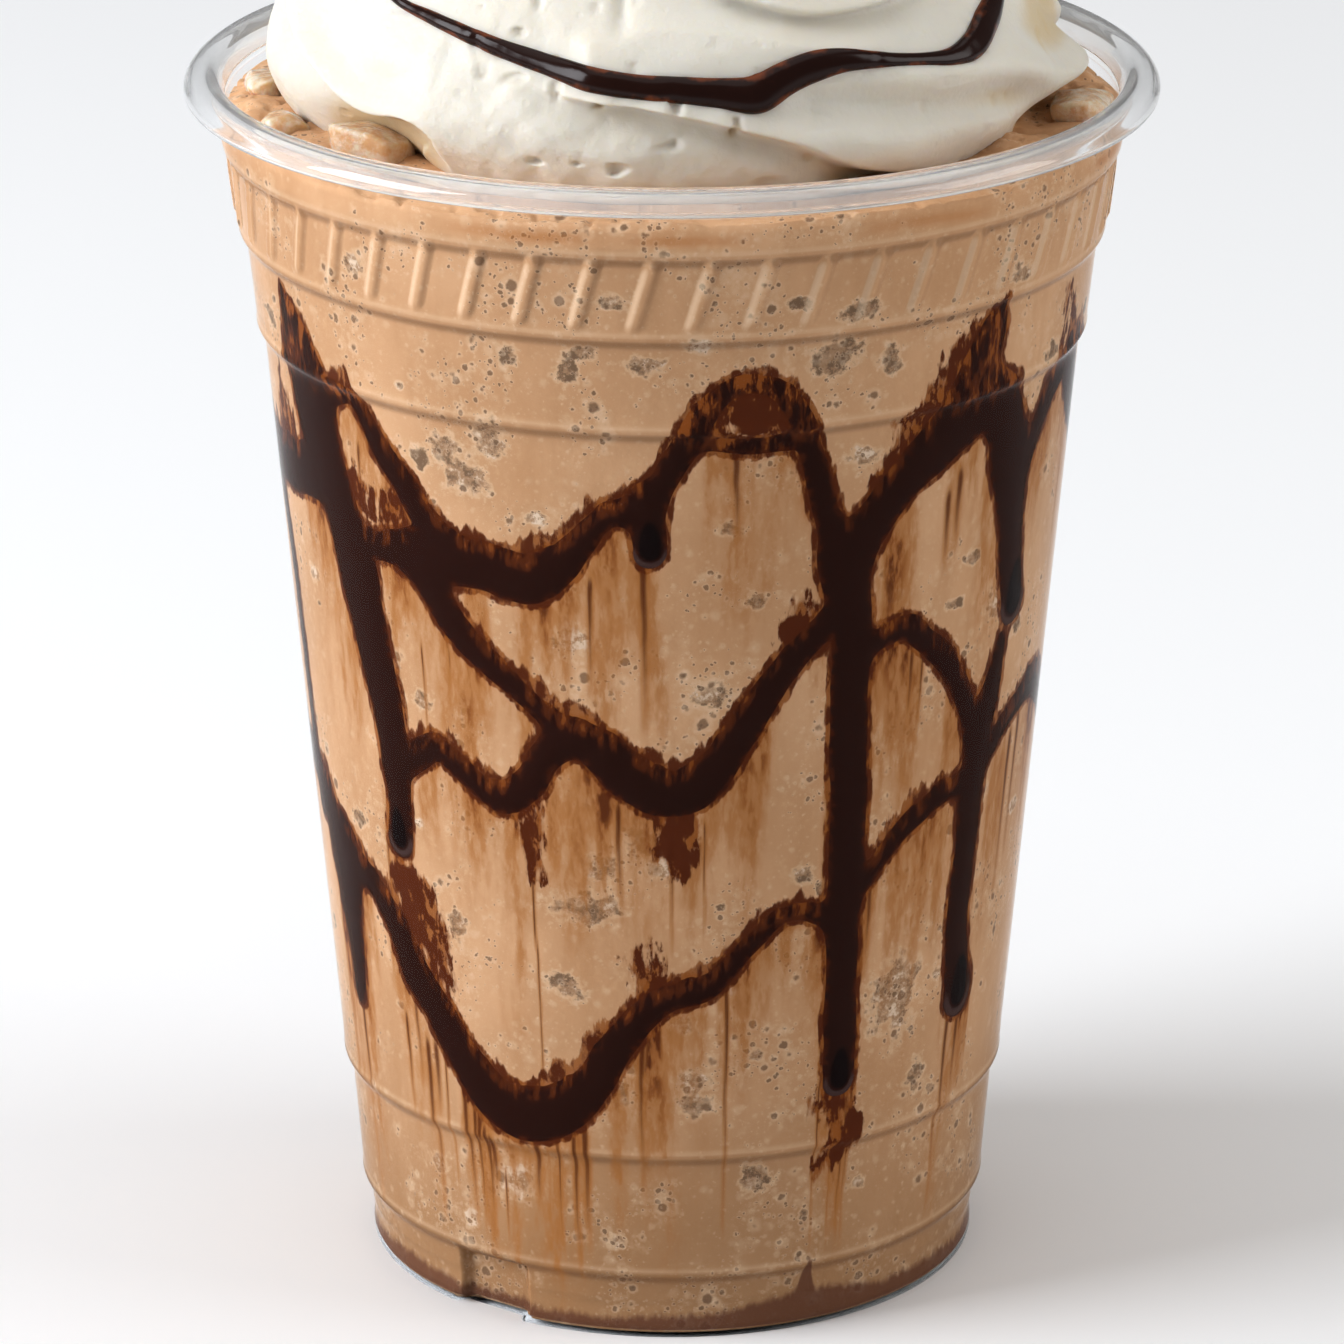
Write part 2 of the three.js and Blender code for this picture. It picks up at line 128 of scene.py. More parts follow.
SIDE_STROKES = [
    [(-54.1, 83.2, 3.2), (-46.1, 83.8, 3.8), (-38.1, 84, 5.3), (-30.1, 84.2, 5.3)],
    [(-39.1, 83.4, 6), (-36.5, 80.6, 4.7), (-33.3, 77.3, 4.1), (-26.5, 73.1, 3.2),
     (-19.8, 69.5, 2.9), (-16, 67.5, 3.4)],
    [(4, 98.7, 1.8), (10, 98, 2), (16.2, 98.2, 2.2)],
    [(44, 99, 6.6), (47, 103.5, 6), (49, 107, 3.8), (49.8, 109, 1.5)],
    [(29.7, 75.1, 2.8), (32.9, 76.1, 3), (36.8, 76.5, 3.2), (42.3, 73.6, 3.2), (47.5, 69.7, 3.1),
     (51.3, 65.3, 3.4), (54, 61.5, 3.9)],
    [(29, 48, 2.2), (32.6, 50.4, 2.5), (36, 53, 2.7), (41.3, 55.6, 3), (48, 57.1, 3.2),
     (53.2, 56.6, 3)],
    [(55.5, 57.5, 2.8), (58.3, 58.8, 2.9), (62.6, 61.2, 3.3), (67.1, 62.8, 3.5),
     (76.5, 63.5, 4.4), (92, 57, 4.8)],
    [(-84, 88, 5), (-79, 76, 3.2), (-78, 60, 2.8), (-77, 50, 3.6)],
    [(-67.4, 46.7, 9.3), (-67.1, 41.2, 6.3), (-65.9, 36, 4.4), (-66.5, 31.4, 3.4)],
    [(-3.7, 92.7, 3.9), (-3.1, 89.5, 3.7), (-3.1, 87.2, 3.9)],
    [(56.4, 92, 7.7), (58, 86.5, 5.8), (59.5, 81, 5.3), (61, 76.5, 5.5), (61.6, 75.2, 5.8)],
    [(59.3, 71.3, 2.2), (57.7, 66.2, 4.2), (55.4, 62.1, 5.3), (54.5, 52.7, 4.6), (54, 43.2, 4.3),
     (55, 37.1, 4.6), (56.3, 33.4, 5.8)],
]
# Thin sauce that only stains the drink: above the peaks, in streaks and round the foot
STAINS = [
    [(-65.2, 107, 1.5), (-62, 101, 7)],
    [(6, 101, 4), (10.6, 102, 6), (14.5, 101, 4)],
    [(31, 90.5, 3), (35, 96, 5), (41, 101, 6.5), (46, 105, 6), (49.5, 109, 1.5)],
    [(-74, 97, 2), (-72, 91, 6)],
    [(69, 107, 1.5), (72, 99, 7)],
    [(-56, 91, 2), (-50, 88, 4), (-44, 88, 4)],
    [(-22.5, 60, 3), (-22.5, 51, 1.5)],
    [(-5, 44, 2.6), (-4, 40, 3.5)],
    [(0, 58, 5), (1, 53, 2)],
    [(-44, 46, 3), (-41, 36, 3), (-36, 26, 3)],
    [(26, 27, 3), (31, 22, 3), (27, 18, 2)],
    [(17, 78, 2.5), (20, 80, 3)],
    [(-48, 47, 4), (-45, 42, 3)],
]
# Drops at the ends of strokes, each with a painted highlight on its lower edge: angle, height and
# radius
DROPS = [
    (-3.1, 87.4, 1.95), (61.6, 75.2, 2.8), (56.3, 33.4, 2.8), (29.3, 28.2, 2.2), (-48.2, 52, 2.1),
]
# Thin lines of sauce that run down: angle, top height and bottom height
STREAKS = [
    (-51, 32, 19), (-46, 30, 8), (-44, 30, 20), (-38, 26, 8), (-36, 24, 8), (-31, 17, 8),
    (-22, 52, 8), (-20, 24, 7), (-17, 24, 5), (-15, 24, 8), (-4, 86, 66), (-5, 36, 15),
    (9, 40, 10), (25.5, 28, 7.4), (29, 28, 7.4), (32, 30, 7.4), (54, 33, 7.4), (57, 32, 20),
    (-66, 32, 14), (-8, 60, 46), (0, 58, 42), (5, 58, 44), (-52, 52, 40), (-12, 84, 70),
    (9, 98, 86), (45, 92, 82), (43, 90, 80), (38, 74, 64), (40, 73, 62), (-40, 74, 62),
    (-42, 33, 12), (-34, 22, 9), (-33, 21, 13), (-24, 22, 12), (-48, 38, 22), (31, 24, 8),
    (-35, 78, 66), (-53, 92, 84), (-50, 94, 86), (33, 50, 38), (66, 60, 40), (69, 62, 44),
]


# Large odd numbers that turn the place of a cell into a random value
HASH = (374761393, 668265263, 1442695041)
HASH_SEED = 144665
HASH_SCRAMBLE = 1274126177


def smooth_noise(points, scale, seed):
    """Smooth noise between -1 and 1 at points in mm, with lumps as large as scale."""
    cell = np.asarray(points, float) / scale
    low = np.floor(cell).astype(np.int64)
    part = cell - low
    part = part * part * (3 - 2 * part)
    total = np.zeros(cell.shape[:-1])
    for dx in (0, 1):
        for dy in (0, 1):
            for dz in (0, 1):
                code = (low[..., 0] + dx) * HASH[0] + (low[..., 1] + dy) * HASH[1]
                code = code + (low[..., 2] + dz) * HASH[2] + seed * HASH_SEED
                code = (code ^ (code >> 13)) * HASH_SCRAMBLE
                value = ((code ^ (code >> 16)) & 0xFFFF) / 32767.5 - 1
                weight = np.where(dx, part[..., 0], 1 - part[..., 0])
                weight = weight * np.where(dy, part[..., 1], 1 - part[..., 1])
                weight = weight * np.where(dz, part[..., 2], 1 - part[..., 2])
                total += value * weight
    return total


def layered_noise(points, scale, seed, layers=3):
    """Noise with finer and fainter layers on top of each other."""
    total = 0
    for layer in range(layers):
        total = total + smooth_noise(points, scale / 2**layer, seed + layer) / 2**layer
    return total / (2 - 2.0 ** (1 - layers))


def smoothstep(low, high, value):
    """Rises softly from 0 at low to 1 at high, also where low is the larger."""
    share = np.clip((value - low) / (high - low), 0, 1)
    return share * share * (3 - 2 * share)


def window(value, foot, full, fall, end):
    """Rises from 0 at foot to 1 at full, and falls from 1 at fall to 0 at end."""
    return smoothstep(foot, full, value) * (1 - smoothstep(fall, end, value))


def bump(distance, half_width):
    """A bell that is 1 at distance 0."""
    return np.exp(-((distance / half_width) ** 2))


def turn_between(angle, middle):
    """Difference of two angles, from -180 to 180."""
    return (angle - middle + 180) % 360 - 180


def around(angle, radius, height):
    """Points at an angle round the axis, a radius and a height."""
    turn = np.radians(angle)
    return np.stack([radius * np.sin(turn), -radius * np.cos(turn), height + 0 * turn], -1)


def in_steps(*ranges):
    """Heights from ranges that each have a start, an end and a step."""
    return np.concatenate([np.arange(*part) for part in ranges])


def spline(points, steps):
    """Catmull-Rom curve through points, with steps pieces between each pair."""
    points = np.array(points, float)
    ends = [2 * points[0] - points[1], *points, 2 * points[-1] - points[-2]]
    share = np.linspace(0, 1, steps, endpoint=False)[:, None]
    out = []
    for a, b, c, d in zip(ends, ends[1:], ends[2:], ends[3:]):
        cubic = (-a + 3 * b - 3 * c + d) * share**3 + (2 * a - 5 * b + 4 * c - d) * share**2
        out.append((cubic + (c - a) * share + 2 * b) / 2)
    return np.concatenate(out + [points[-1:]])


def make_object(name, vertices, faces):
    """A smooth mesh object from vertices in mm and faces as lists of numbers."""
    mesh = bpy.data.meshes.new(name)
    mesh.from_pydata((np.asarray(vertices) * MM).tolist(), [], faces)
    mesh.polygons.foreach_set("use_smooth", [True] * len(mesh.polygons))
    mesh.update()
    obj = bpy.data.objects.new(name, mesh)
    bpy.context.scene.collection.objects.link(obj)
    return obj


def set_attribute(obj, name, values):
    """Stores one number for each point, which the material reads by name."""
    layer = obj.data.attributes.new(name, "FLOAT", "POINT")
    layer.data.foreach_set("value", np.ravel(values).astype(np.float32))


def to_segment(x, y, run):
    """Distance of x and y from a segment that runs from 0, and the share along it."""
    share = np.clip((x * run[0] + y * run[1]) / (run @ run), 0, 1)
    return np.hypot(x - share * run[0], y - share * run[1]), share


def ring_faces(rings, columns):
    """Quads between rings of points that go right round."""
    row, column = np.meshgrid(np.arange(rings - 1), np.arange(columns), indexing="ij")
    here = row * columns + column
    right = row * columns + (column + 1) % columns
    return np.stack([here, right, right + columns, here + columns], -1).reshape(-1, 4)


def closed_skin(name, rings):
    """A closed surface through rings of points, shaped (rings, columns, 3), whose first and
    last ring are each closed at their middle."""
    count, columns = rings.shape[:2]
    ends = [rings[0].mean(0), rings[-1].mean(0)]
    vertices = np.concatenate([rings.reshape(-1, 3), ends])
    bottom, top = count * columns, count * columns + 1
    column = np.arange(columns)
    after = (column + 1) % columns
    last = (count - 1) * columns
    faces = ring_faces(count, columns).tolist()
    faces += [[bottom, b, a] for a, b in zip(column, after)]
    faces += [[top, last + a, last + b] for a, b in zip(column, after)]
    return make_object(name, vertices, faces)


def fill_pinches(cells, passes=4):
    """Where two cells of a grid that goes right round meet only at a corner, adds the other
    two cells at that corner."""
    for turn in range(passes):
        left = np.roll(cells, 1, axis=1)
        a, b, c, d = left[:-1], cells[:-1], left[1:], cells[1:]
        pinch = (a & d & ~b & ~c) | (b & c & ~a & ~d)
        pinch = pinch | np.roll(pinch, -1, axis=1)
        cells = cells.copy()
        cells[:-1] |= pinch
        cells[1:] |= pinch
    return cells


def closed_faces(front, count):
    """Faces of a closed body from the quads of its front. Its back has as many points, whose
    numbers are higher by count."""
    edges = np.stack([front, np.roll(front, -1, axis=1)], -1).reshape(-1, 2)
    there, back = edges @ [count, 1], edges @ [1, count]
    border = edges[~np.isin(there, back)]
    sides = np.stack([border[:, 1], border[:, 0], border[:, 0] + count, border[:, 1] + count], -1)
    return np.concatenate([front, front[:, ::-1] + count, sides])


# The cup's wall, which the drink and the sauce lie against

def rib_twist(height):
    """How far the columns of points turn so that they run along the leaning ribs."""
    middle = (RIB_FOOT_HEIGHT + RIB_TOP_HEIGHT) / 2
    share = (height - middle) / (RIB_TOP_HEIGHT - RIB_FOOT_HEIGHT)
    return RIB_LEAN * np.clip(share, -0.5, 0.5)


def rib_relief(angle, height):
    """How far the slanted ribs stand out at an angle and height."""
    pitch = 360 / RIB_COUNT
    away = abs((angle - rib_twist(height)) % pitch - pitch / 2)
    across = np.radians(away) * RIB_RADIUS
    ends = window(height, RIB_FOOT_HEIGHT, RIB_FOOT_HEIGHT + 1.2,
                  RIB_TOP_HEIGHT, RIB_TOP_HEIGHT + 0.8)
    width = RIB_HALF_WIDTH * (0.75 + 0.25 * ends)
    return RIB_RELIEF * ends * (1 - smoothstep(width - 0.3, width + 0.25, across))


def step_line(height):
    """Radius of the wall's outline, with each step bent over towards its top."""
    radius = np.interp(height, WALL_LINE[:, 1], WALL_LINE[:, 0])
    for foot, top in WALL_STEPS:
        share = np.clip((height - foot) / (top - foot), 0, 1)
        low, high = np.interp((foot, top), WALL_LINE[:, 1], WALL_LINE[:, 0])
        inside = (height > foot) & (height < top)
        radius = np.where(inside, low + (high - low) * (0.25 * share + 0.75 * share**4), radius)
        radius = radius + STEP_BEAD * bump(height - top - 0.35, 0.4)
    return radius


def wall_radius(angle, height):
    """Outer radius of the cup's wall, with its steps, ribs and foot notches."""
    height = np.asarray(height, float)
    radius = 0
    for shift in (-0.12, 0, 0.12):
        radius = radius + step_line(np.maximum(height + shift, 0)) / 3
    radius = radius + rib_relief(angle, height)
    for middle in NOTCH_ANGLES:
        across = np.radians(turn_between(angle, middle))
        flat = NOTCH_RADIUS / np.cos(np.clip(across, -1, 1))
        away = abs(across) * FOOT_RADIUS
        inside = 1 - smoothstep(NOTCH_HALF_WIDTH - 0.3, NOTCH_HALF_WIDTH + 0.3, away)
        inside = inside * (1 - smoothstep(NOTCH_HEIGHT - 0.4, NOTCH_HEIGHT + 0.4, height))
        radius = radius + inside * np.minimum(flat - radius, 0)
    return np.minimum(radius, THROAT_RADIUS)


def cup_shell():
    """The whole cup: foot, punt, stepped wall with ribs, and rolled lip."""
    base = np.arange(COLUMNS) * 360 / COLUMNS
    heights = in_steps(
        (0.9, 3.8, 0.7), (4.2, 8.4, 0.2), (9, 18, 1.8), (18, 21.9, 0.2), (25, 95, 6),
        (97, 100.9, 0.2), (102.5, 107, 2.5), (107.2, 111.8, 0.2), (112, 116, 0.8),
        (116, 119.8, 0.2), (120.4, 123.4, 0.7),
    )

    def ring(radius, height):
        return around(base + rib_twist(height), np.broadcast_to(radius, COLUMNS), height)

    def wall_ring(height, inset=0.0, lift=0.0):
        angle = base + rib_twist(height)
        return around(angle, wall_radius(angle, height + 0 * angle) - inset, height + lift)

    rings = [ring(0.5, PUNT_HEIGHT), ring(PUNT_RADIUS - 1, PUNT_HEIGHT),
             ring(PUNT_RADIUS, PUNT_HEIGHT - 0.15), ring(PUNT_RADIUS + 1, PUNT_HEIGHT / 2),
             ring(FOOT_RING_INNER_RADIUS, 0.15), ring(FOOT_RING_INNER_RADIUS + 0.7, 0)]
    foot_radius, foot_height = WALL_LINE[1]
    foot = np.minimum(wall_radius(base, foot_height + 0 * base), foot_radius)
    rings += [ring(foot - inset, height)
              for inset, height in ((1.2, 0), (0.75, 0), (0.3, 0.2), (0.08, 0.5))]
    rings += [wall_ring(height) for height in heights]
    rings += [ring(radius, height) for radius, height in spline(LIP_LINE, 3)]
    rings += [wall_ring(height, WALL, 0.02) for height in heights[::-1]]
    rings += [ring(foot - 1.1, WALL), ring(FOOT_RING_INNER_RADIUS + 1, WALL),
              ring(PUNT_RADIUS + 1.6, PUNT_HEIGHT / 2 + 0.5),
              ring(PUNT_RADIUS, PUNT_HEIGHT + WALL), ring(0.5, PUNT_HEIGHT + WALL)]
    return closed_skin("clear_cup", np.array(rings))


# Sauce on the wall

def sauce_field(angle, height, strokes, blend=0.5):
    """How deep a point of the wall lies inside the sauce, in mm: above 0 is sauce."""
    per_degree = np.radians(np.interp(height, WALL_LINE[:, 1], WALL_LINE[:, 0]) - WALL)
    total = np.zeros(np.shape(angle))
    for stroke in strokes:
        line = spline(stroke, 5)
        best = np.full(np.shape(angle), STROKE_OUTSIDE)
        for a, b in zip(line, line[1:]):
            x = turn_between(angle, a[0]) * per_degree
            y = height - a[1]
            run = np.array([turn_between(b[0], a[0]) * STROKE_DEGREE, b[1] - a[1]])
            away, share = to_segment(x, y, run)
            best = np.maximum(best, (a[2] + share * (b[2] - a[2])) / 2 - away)
        total += np.exp(best / blend)
    return blend * np.log(total + 1e-9)


def mirrored(strokes):
    """The strokes in mirror image on the back of the cup."""
    return [[(180 - angle, height, width) for angle, height, width in line] for line in strokes]


ALL_STROKES = MAIN_STROKES + SIDE_STROKES + mirrored(MAIN_STROKES)


class WallMap:
    """Marks on the unrolled wall: where sauce lies and has run, where ice shows, and shade."""

    def __init__(self, heights):
        self.heights = heights
        base, height = np.meshgrid(np.arange(COLUMNS) * 360 / COLUMNS - 180, heights)
        angle = base + rib_twist(height)
        self.angle, self.height = angle, height
        spot = around(angle, NOISE_RADIUS + 0 * height, height)
        column_spot = around(angle, NOISE_RADIUS + 0 * height, 0 * height)
        self.spot, self.column_spot = spot, column_spot
        warped = angle + 0.45 * layered_noise(spot, 5, 3) / DEGREE
        warped_up = height + 0.45 * layered_noise(spot, 5, 8)
        ragged = np.maximum(0, layered_noise(column_spot, 1.7, 21) + 0.25)
        fingers = np.maximum(0, layered_noise(column_spot, 1.1, 23) + 0.4)
        fingers = fingers * smoothstep(-0.6, 0.3, layered_noise(spot, 12, 25))
        sauce = sauce_field(warped, warped_up, ALL_STROKES)
        raised = sauce_field(warped, warped_up - 0.6 * ragged, ALL_STROKES)
        self.smooth = np.maximum(sauce, raised)
        self.core = self.smooth + 0.12 * smooth_noise(spot, 0.9, 5)
        self.fingers = sauce_field(warped, warped_up - 0.3 - 2.2 * fingers, ALL_STROKES)

    def feather(self):
        """How deep a point lies in the thin ragged rim above each stroke."""
        return np.clip(np.maximum(self.fingers, 2.5 * self.core + 0.75), OUTSIDE, 0.8)

    def crease(self):
        """Above 0 the shade under each step and beside each rib, below 0 the light over it."""
        over = [self.height - top for foot, top in WALL_STEPS]
        shade = np.maximum.reduce([bump(away + 0.5, 0.6) for away in over])
        light = np.maximum.reduce([bump(away - 0.4, 0.5) for away in over])
        flank = rib_relief(self.angle + 0.5, self.height)
        flank = flank - rib_relief(self.angle - 0.5, self.height)
        return shade - 0.6 * light - np.where(flank > 0, 2.8, 1.5) * flank

    def ice(self):
        """How far a point lies inside a lump of ice by the wall, and how pale that lump is."""
        outline = 0.5 * layered_noise(self.spot, 1.8, 401)
        outline = outline + 0.12 * smooth_noise(self.spot, 0.6, 403)
        inside = np.full(self.angle.shape, -1.0)
        tone = np.full(self.angle.shape, 0.5)
        for angle, height, wide, tall, pale in wall_lumps():
            rows = abs(self.heights - height) < tall + 1
            across = turn_between(self.angle[rows], angle) * DEGREE
            up = self.height[rows] - height
            here = 1 - np.hypot(2 * across / wide, 2 * up / tall) + outline[rows]
            tone[rows] = np.where(here > inside[rows], pale, tone[rows])
            inside[rows] = np.maximum(inside[rows], here)
        return inside, tone

    def smear(self):
        """Thin sauce that has run down under each stroke."""
        tall = self.spot * np.array([1, 1, 0.12])
        length = 10 + 8 * layered_noise(self.column_spot, 4, 41)
        strength = smoothstep(-0.5, 0.25, layered_noise(tall, 4.2, 43, 2))
        strength = strength * (0.6 + 0.9 * smoothstep(-0.3, 0.5, layered_noise(tall, 2.0, 45, 2)))
        return strength * self.run(self.core > 0, np.maximum(length, 2))

    def run(self, source, length):
        """How much has run down from the places of source, to a third after each length."""
        step = np.gradient(self.heights)
        amount = np.zeros(COLUMNS)
        out = np.zeros(source.shape)
        for row in range(len(self.heights) - 1, -1, -1):
            amount = np.maximum(source[row], amount * np.exp(-step[row] / length[row]))
            out[row] = amount
        return out

    def streaks(self):
        """Thin lines of sauce that trickle down, front and back."""
        out = np.zeros(self.angle.shape)
        wander = 0.35 * layered_noise(self.spot, 7, 51)
        for number, (angle, top, bottom) in enumerate(STREAKS):
            for middle in (angle, 180 - angle):
                across = turn_between(self.angle, middle) * STREAK_DEGREE + wander
                width = 0.34 + 0.16 * math.sin(7.1 * number)
                ends = window(self.height, bottom - 1, bottom + 4, top - 1, top + 2)
                share = np.clip((self.height - bottom) / (top - bottom), 0, 1)
                out = np.maximum(out, (0.35 + 0.65 * share) * ends * bump(across, width))
        return out

    def stain(self):
        """How deep a point lies in thin mottled sauce that only stains the drink."""
        marks = STAINS + mirrored(STAINS)
        field = sauce_field(self.angle, self.height, marks, 0.8)
        tall = self.spot * np.array([1, 1, 0.25])
        mottle = layered_noise(self.spot, 3.2, 61) + layered_noise(tall, 1.2, 65)
        return np.clip(np.minimum(field, 0.7) + 1.2 * mottle, OUTSIDE, 3)

    def band(self):
        """A thin wavy line of coffee under the drink's surface."""
        level = 120.1 + 0.6 * layered_noise(self.column_spot, 13, 131)
        strength = smoothstep(-0.3, 0.5, layered_noise(self.column_spot, 11, 133))
        return strength * bump(self.height - level, 0.55)

    def painted_drop_highlight(self):
        """Painted highlight along the rounded lower edge of each drop, and below 0 its darker
        middle.
        """
        out = np.zeros(self.angle.shape)
        for angle, height, radius in DROPS:
            across = turn_between(self.angle, angle) * DEGREE / radius
            up = (self.height - height) / radius
            away = np.hypot(across, up * np.where(up > 0, 0.35, 1))
            edge = bump(away - 0.78, 0.2) * smoothstep(0.5, -0.3, up)
            out += edge - smoothstep(0.65, 0.45, away)
        return out

    def pool(self):
        """Sauce that has settled along the foot."""
        level = 2.3 + 1.2 * layered_noise(self.column_spot, 16, 71)
        for middle, rise, half_width in ((28, 1.6, 13), (-56, 0.8, 14), (26, 4.0, 1.2)):
            level = level + rise * bump(turn_between(self.angle, middle), half_width)
        return np.clip(level - self.height, OUTSIDE, 3)


def wall_sauce():
    """The sauce on the wall. Its rounded front lies in the wall, and its back in the drink."""
    row_height = 0.27
    field = WallMap(np.arange(19, 110.2, row_height))
    depth = field.core
    inner = wall_radius(field.angle, field.height) - WALL
    slope_z, slope_a = np.gradient(depth)
    steep = np.maximum(slope_z**2 + slope_a**2, 1e-3)
    # Points just outside the sauce move in to its edge, by a cell at the most
    outside = np.clip(-depth, 0, 0.45) * (depth > -0.45)
    angle = field.angle + np.clip(outside * slope_a / steep, -1, 1) * (360 / COLUMNS)
    height = field.height + np.clip(outside * slope_z / steep, -1, 1) * row_height
    swell = 1 - np.exp(-np.maximum(field.smooth, 0) / 1.1)
    uneven = 1 + 0.25 * layered_noise(field.spot, 9, 81)
    radius = inner + 0.04 + SAUCE_RELIEF * swell * uneven
    sides = [around(angle, radius, height), around(angle, inner - SAUCE_BACK, height)]
    corners = ring_faces(len(field.heights), COLUMNS).reshape(-1, COLUMNS, 4)
    inside = fill_pinches((depth > 0).ravel()[corners].any(-1))
    used, packed = np.unique(corners[inside], return_inverse=True)
    points = np.concatenate([side.reshape(-1, 3)[used] for side in sides])
    faces = closed_faces(packed.reshape(-1, 4), len(used))
    obj = make_object("wall_sauce_coat", points, faces.tolist())
    # The sauce is thin above the middle step, in patches and along the top of each stroke
    rim_rows = 8
    above = np.concatenate([depth[rim_rows:], np.full((rim_rows, COLUMNS), OUTSIDE)])
    thin = smoothstep(96.5, 100.2, field.height)
    thin = thin + 0.4 * smoothstep(0.2, 0.9, layered_noise(field.spot, 6, 91))
    thin = thin + 0.9 * smoothstep(0.5, -0.8, above)
    for name, values in (("depth", depth), ("thin", thin), ("painted_drop_highlight", field.painted_drop_highlight())):
        set_attribute(obj, name, np.tile(values.ravel()[used], 2))
    return obj


# The drink

def drink_level(angle, radius):
    """Height of the drink's surface: ripples, froth and slushy ice by the wall."""
    turn = np.radians(angle)
    ripple = np.sin(5 * turn + 1) + 0.6 * np.sin(11 * turn + radius * 0.9)
    spot = around(angle, radius, 0 * angle)
    near_wall = smoothstep(36, 43, radius)
    level = DRINK_LEVEL + 0.22 * ripple + 0.35 * near_wall * layered_noise(spot, 9, 111)
    slush = np.maximum(0, layered_noise(spot, 3.2, 113, 4) + 0.25)
    side = smoothstep(35, 70, abs(turn_between(angle, 0)))
    level = level + (0.3 + 0.8 * side) * slush * smoothstep(44.6, 43.4, radius)
    holes = smoothstep(0.35, 0.7, smooth_noise(spot, 1.3, 105))
    return level - 0.4 * holes


def drink_body():
    """The drink, which reaches just into the cup's wall, with its surface."""
    heights = in_steps(
        (1.0, 4.2, 0.6), (4.2, 8.0, 0.3), (8, 18, 0.45), (18, 21.6, 0.3), (21.6, 97, 0.45),
        (97, 100.6, 0.3), (100.6, 107, 0.45), (107, 119.6, 0.3), (119.6, 120.9, 0.4),
    )
    field = WallMap(np.unique(np.round(heights, 3)))
    inset = WALL - DRINK_SINK
    side = around(field.angle, wall_radius(field.angle, field.height) - inset, field.height)
    angle = field.angle[-1]
    rim = wall_radius(angle, DRINK_LEVEL + 0 * angle).min() - inset
    foot = wall_radius(angle, 1.0 + 0 * angle) - inset
    under = [around(angle, np.full(COLUMNS, 0.5), PUNT_HEIGHT + 0.45),
             around(angle, np.full(COLUMNS, PUNT_RADIUS), PUNT_HEIGHT + 0.45),
             around(angle, np.full(COLUMNS, FOOT_RING_INNER_RADIUS + 1.0), 0.5),
             around(angle, foot - 0.5, 0.5)]
    tops = []
    for radius in [rim, rim - 0.2, rim - 0.45, *np.arange(rim - 0.8, 34, -0.35), 30, 15, 0.5]:
        radius = np.full(COLUMNS, radius)
        tops.append(around(angle, radius, drink_level(angle, radius)))
    obj = closed_skin("blended_drink", np.concatenate([under, side, tops]))
    before, after = len(under) * COLUMNS, len(tops) * COLUMNS + 2
    lump, tone = field.ice()
    # Each mark with its value where the wall doesn't touch the drink
    marks = [("smear", field.smear(), 0), ("streaks", field.streaks(), 0),
             ("band", field.band(), 0), ("crease", field.crease(), 0),
             ("feather", field.feather(), OUTSIDE), ("pool", field.pool(), OUTSIDE),
             ("stain", field.stain(), OUTSIDE), ("lump", lump, -1), ("tone", tone, 0.5)]
    for name, values, bare in marks:
        values = np.concatenate([np.full(before, bare), values.ravel(), np.full(after, bare)])
        set_attribute(obj, name, values)
    return obj


# Whipped cream

CREAM_CENTRE = np.array([0.3, 3.5, 0])
CREAM_LINE = np.array([
    [0.3, 119.6], [35.5, 119.6], [38.2, 121.4], [39.9, 124], [40.8, 127], [40.2, 130.5],
    [38.2, 134.5], [34.5, 140], [29, 146], [22, 152], [14, 158], [7, 163], [2.4, 166.4],
    [0.3, 167],
])
CREAM_TIER_HEIGHT = 14.5
CREAM_GROOVE = 2.4
CREAM_FLUTES = 9
CREAM_FLUTE_DEPTH = 1.0

# Places where the cream stands out or falls back: angle, height, half width in degrees,
# half height and how far it moves
CREAM_FEATURES = [
    (-50, 121.5, 13, 4.6, -4.4),
    (30, 121, 9, 2.8, -2.2),
    (80, 122.8, 15, 2.4, -3.6),
    (82, 125.8, 12, 1.8, 1.8),
    (86, 131.5, 26, 6, -3.2),
    (55, 122, 12, 2.5, -0.8),
    (-88, 128, 14, 5, 0.5),
    (-12, 125, 12, 4, 0.9),
    (2, 135, 12, 2.6, 0.9),
]
# Folds: a line of angle and height, how far its edge stands out, how far that fades above
# it and below it, how deep the hollow below is and how far that reaches
CREAM_FOLDS = [
    ([(-88, 141), (-80, 136), (-75, 133.9), (-69.5, 132.7), (-65, 131.6), (-58, 129.8),
      (-51, 127.8), (-46.5, 127.3), (-41, 127.9), (-37, 127.6), (-34.5, 126.3), (-34.3, 123.9),
      (-35.5, 121)],
     1.3, 2.6, 0.55, 1.3, 4.0),
    ([(-22, 132.6), (-10.5, 131.8), (-3.5, 131.3), (4, 130.2), (12.5, 128.5), (17, 127.5),
      (22.5, 125.5), (27.5, 124), (34, 122.7), (44, 121)],
     1.5, 4.0, 0.6, 1.6, 3.2),
    ([(24, 132.6), (35, 133), (44.5, 132.2), (53, 131.4), (63, 129.4), (72, 127.6), (84, 125.8),
      (100, 125.2)],
     1.3, 2.5, 2.2, 0.2, 4.0),
    ([(-16, 136.4), (-11, 137), (-3.5, 138.1), (5, 137.8), (15.5, 136.6), (23.5, 135.6),
      (36, 135.2)],
     1.3, 1.0, 3.4, 0.3, 6.0),
    ([(4, 142), (14, 140.2), (20, 139.3), (26.5, 139.1), (36, 139.6), (48, 141)],
     1.6, 4.0, 0.8, 1.5, 2.0),
]
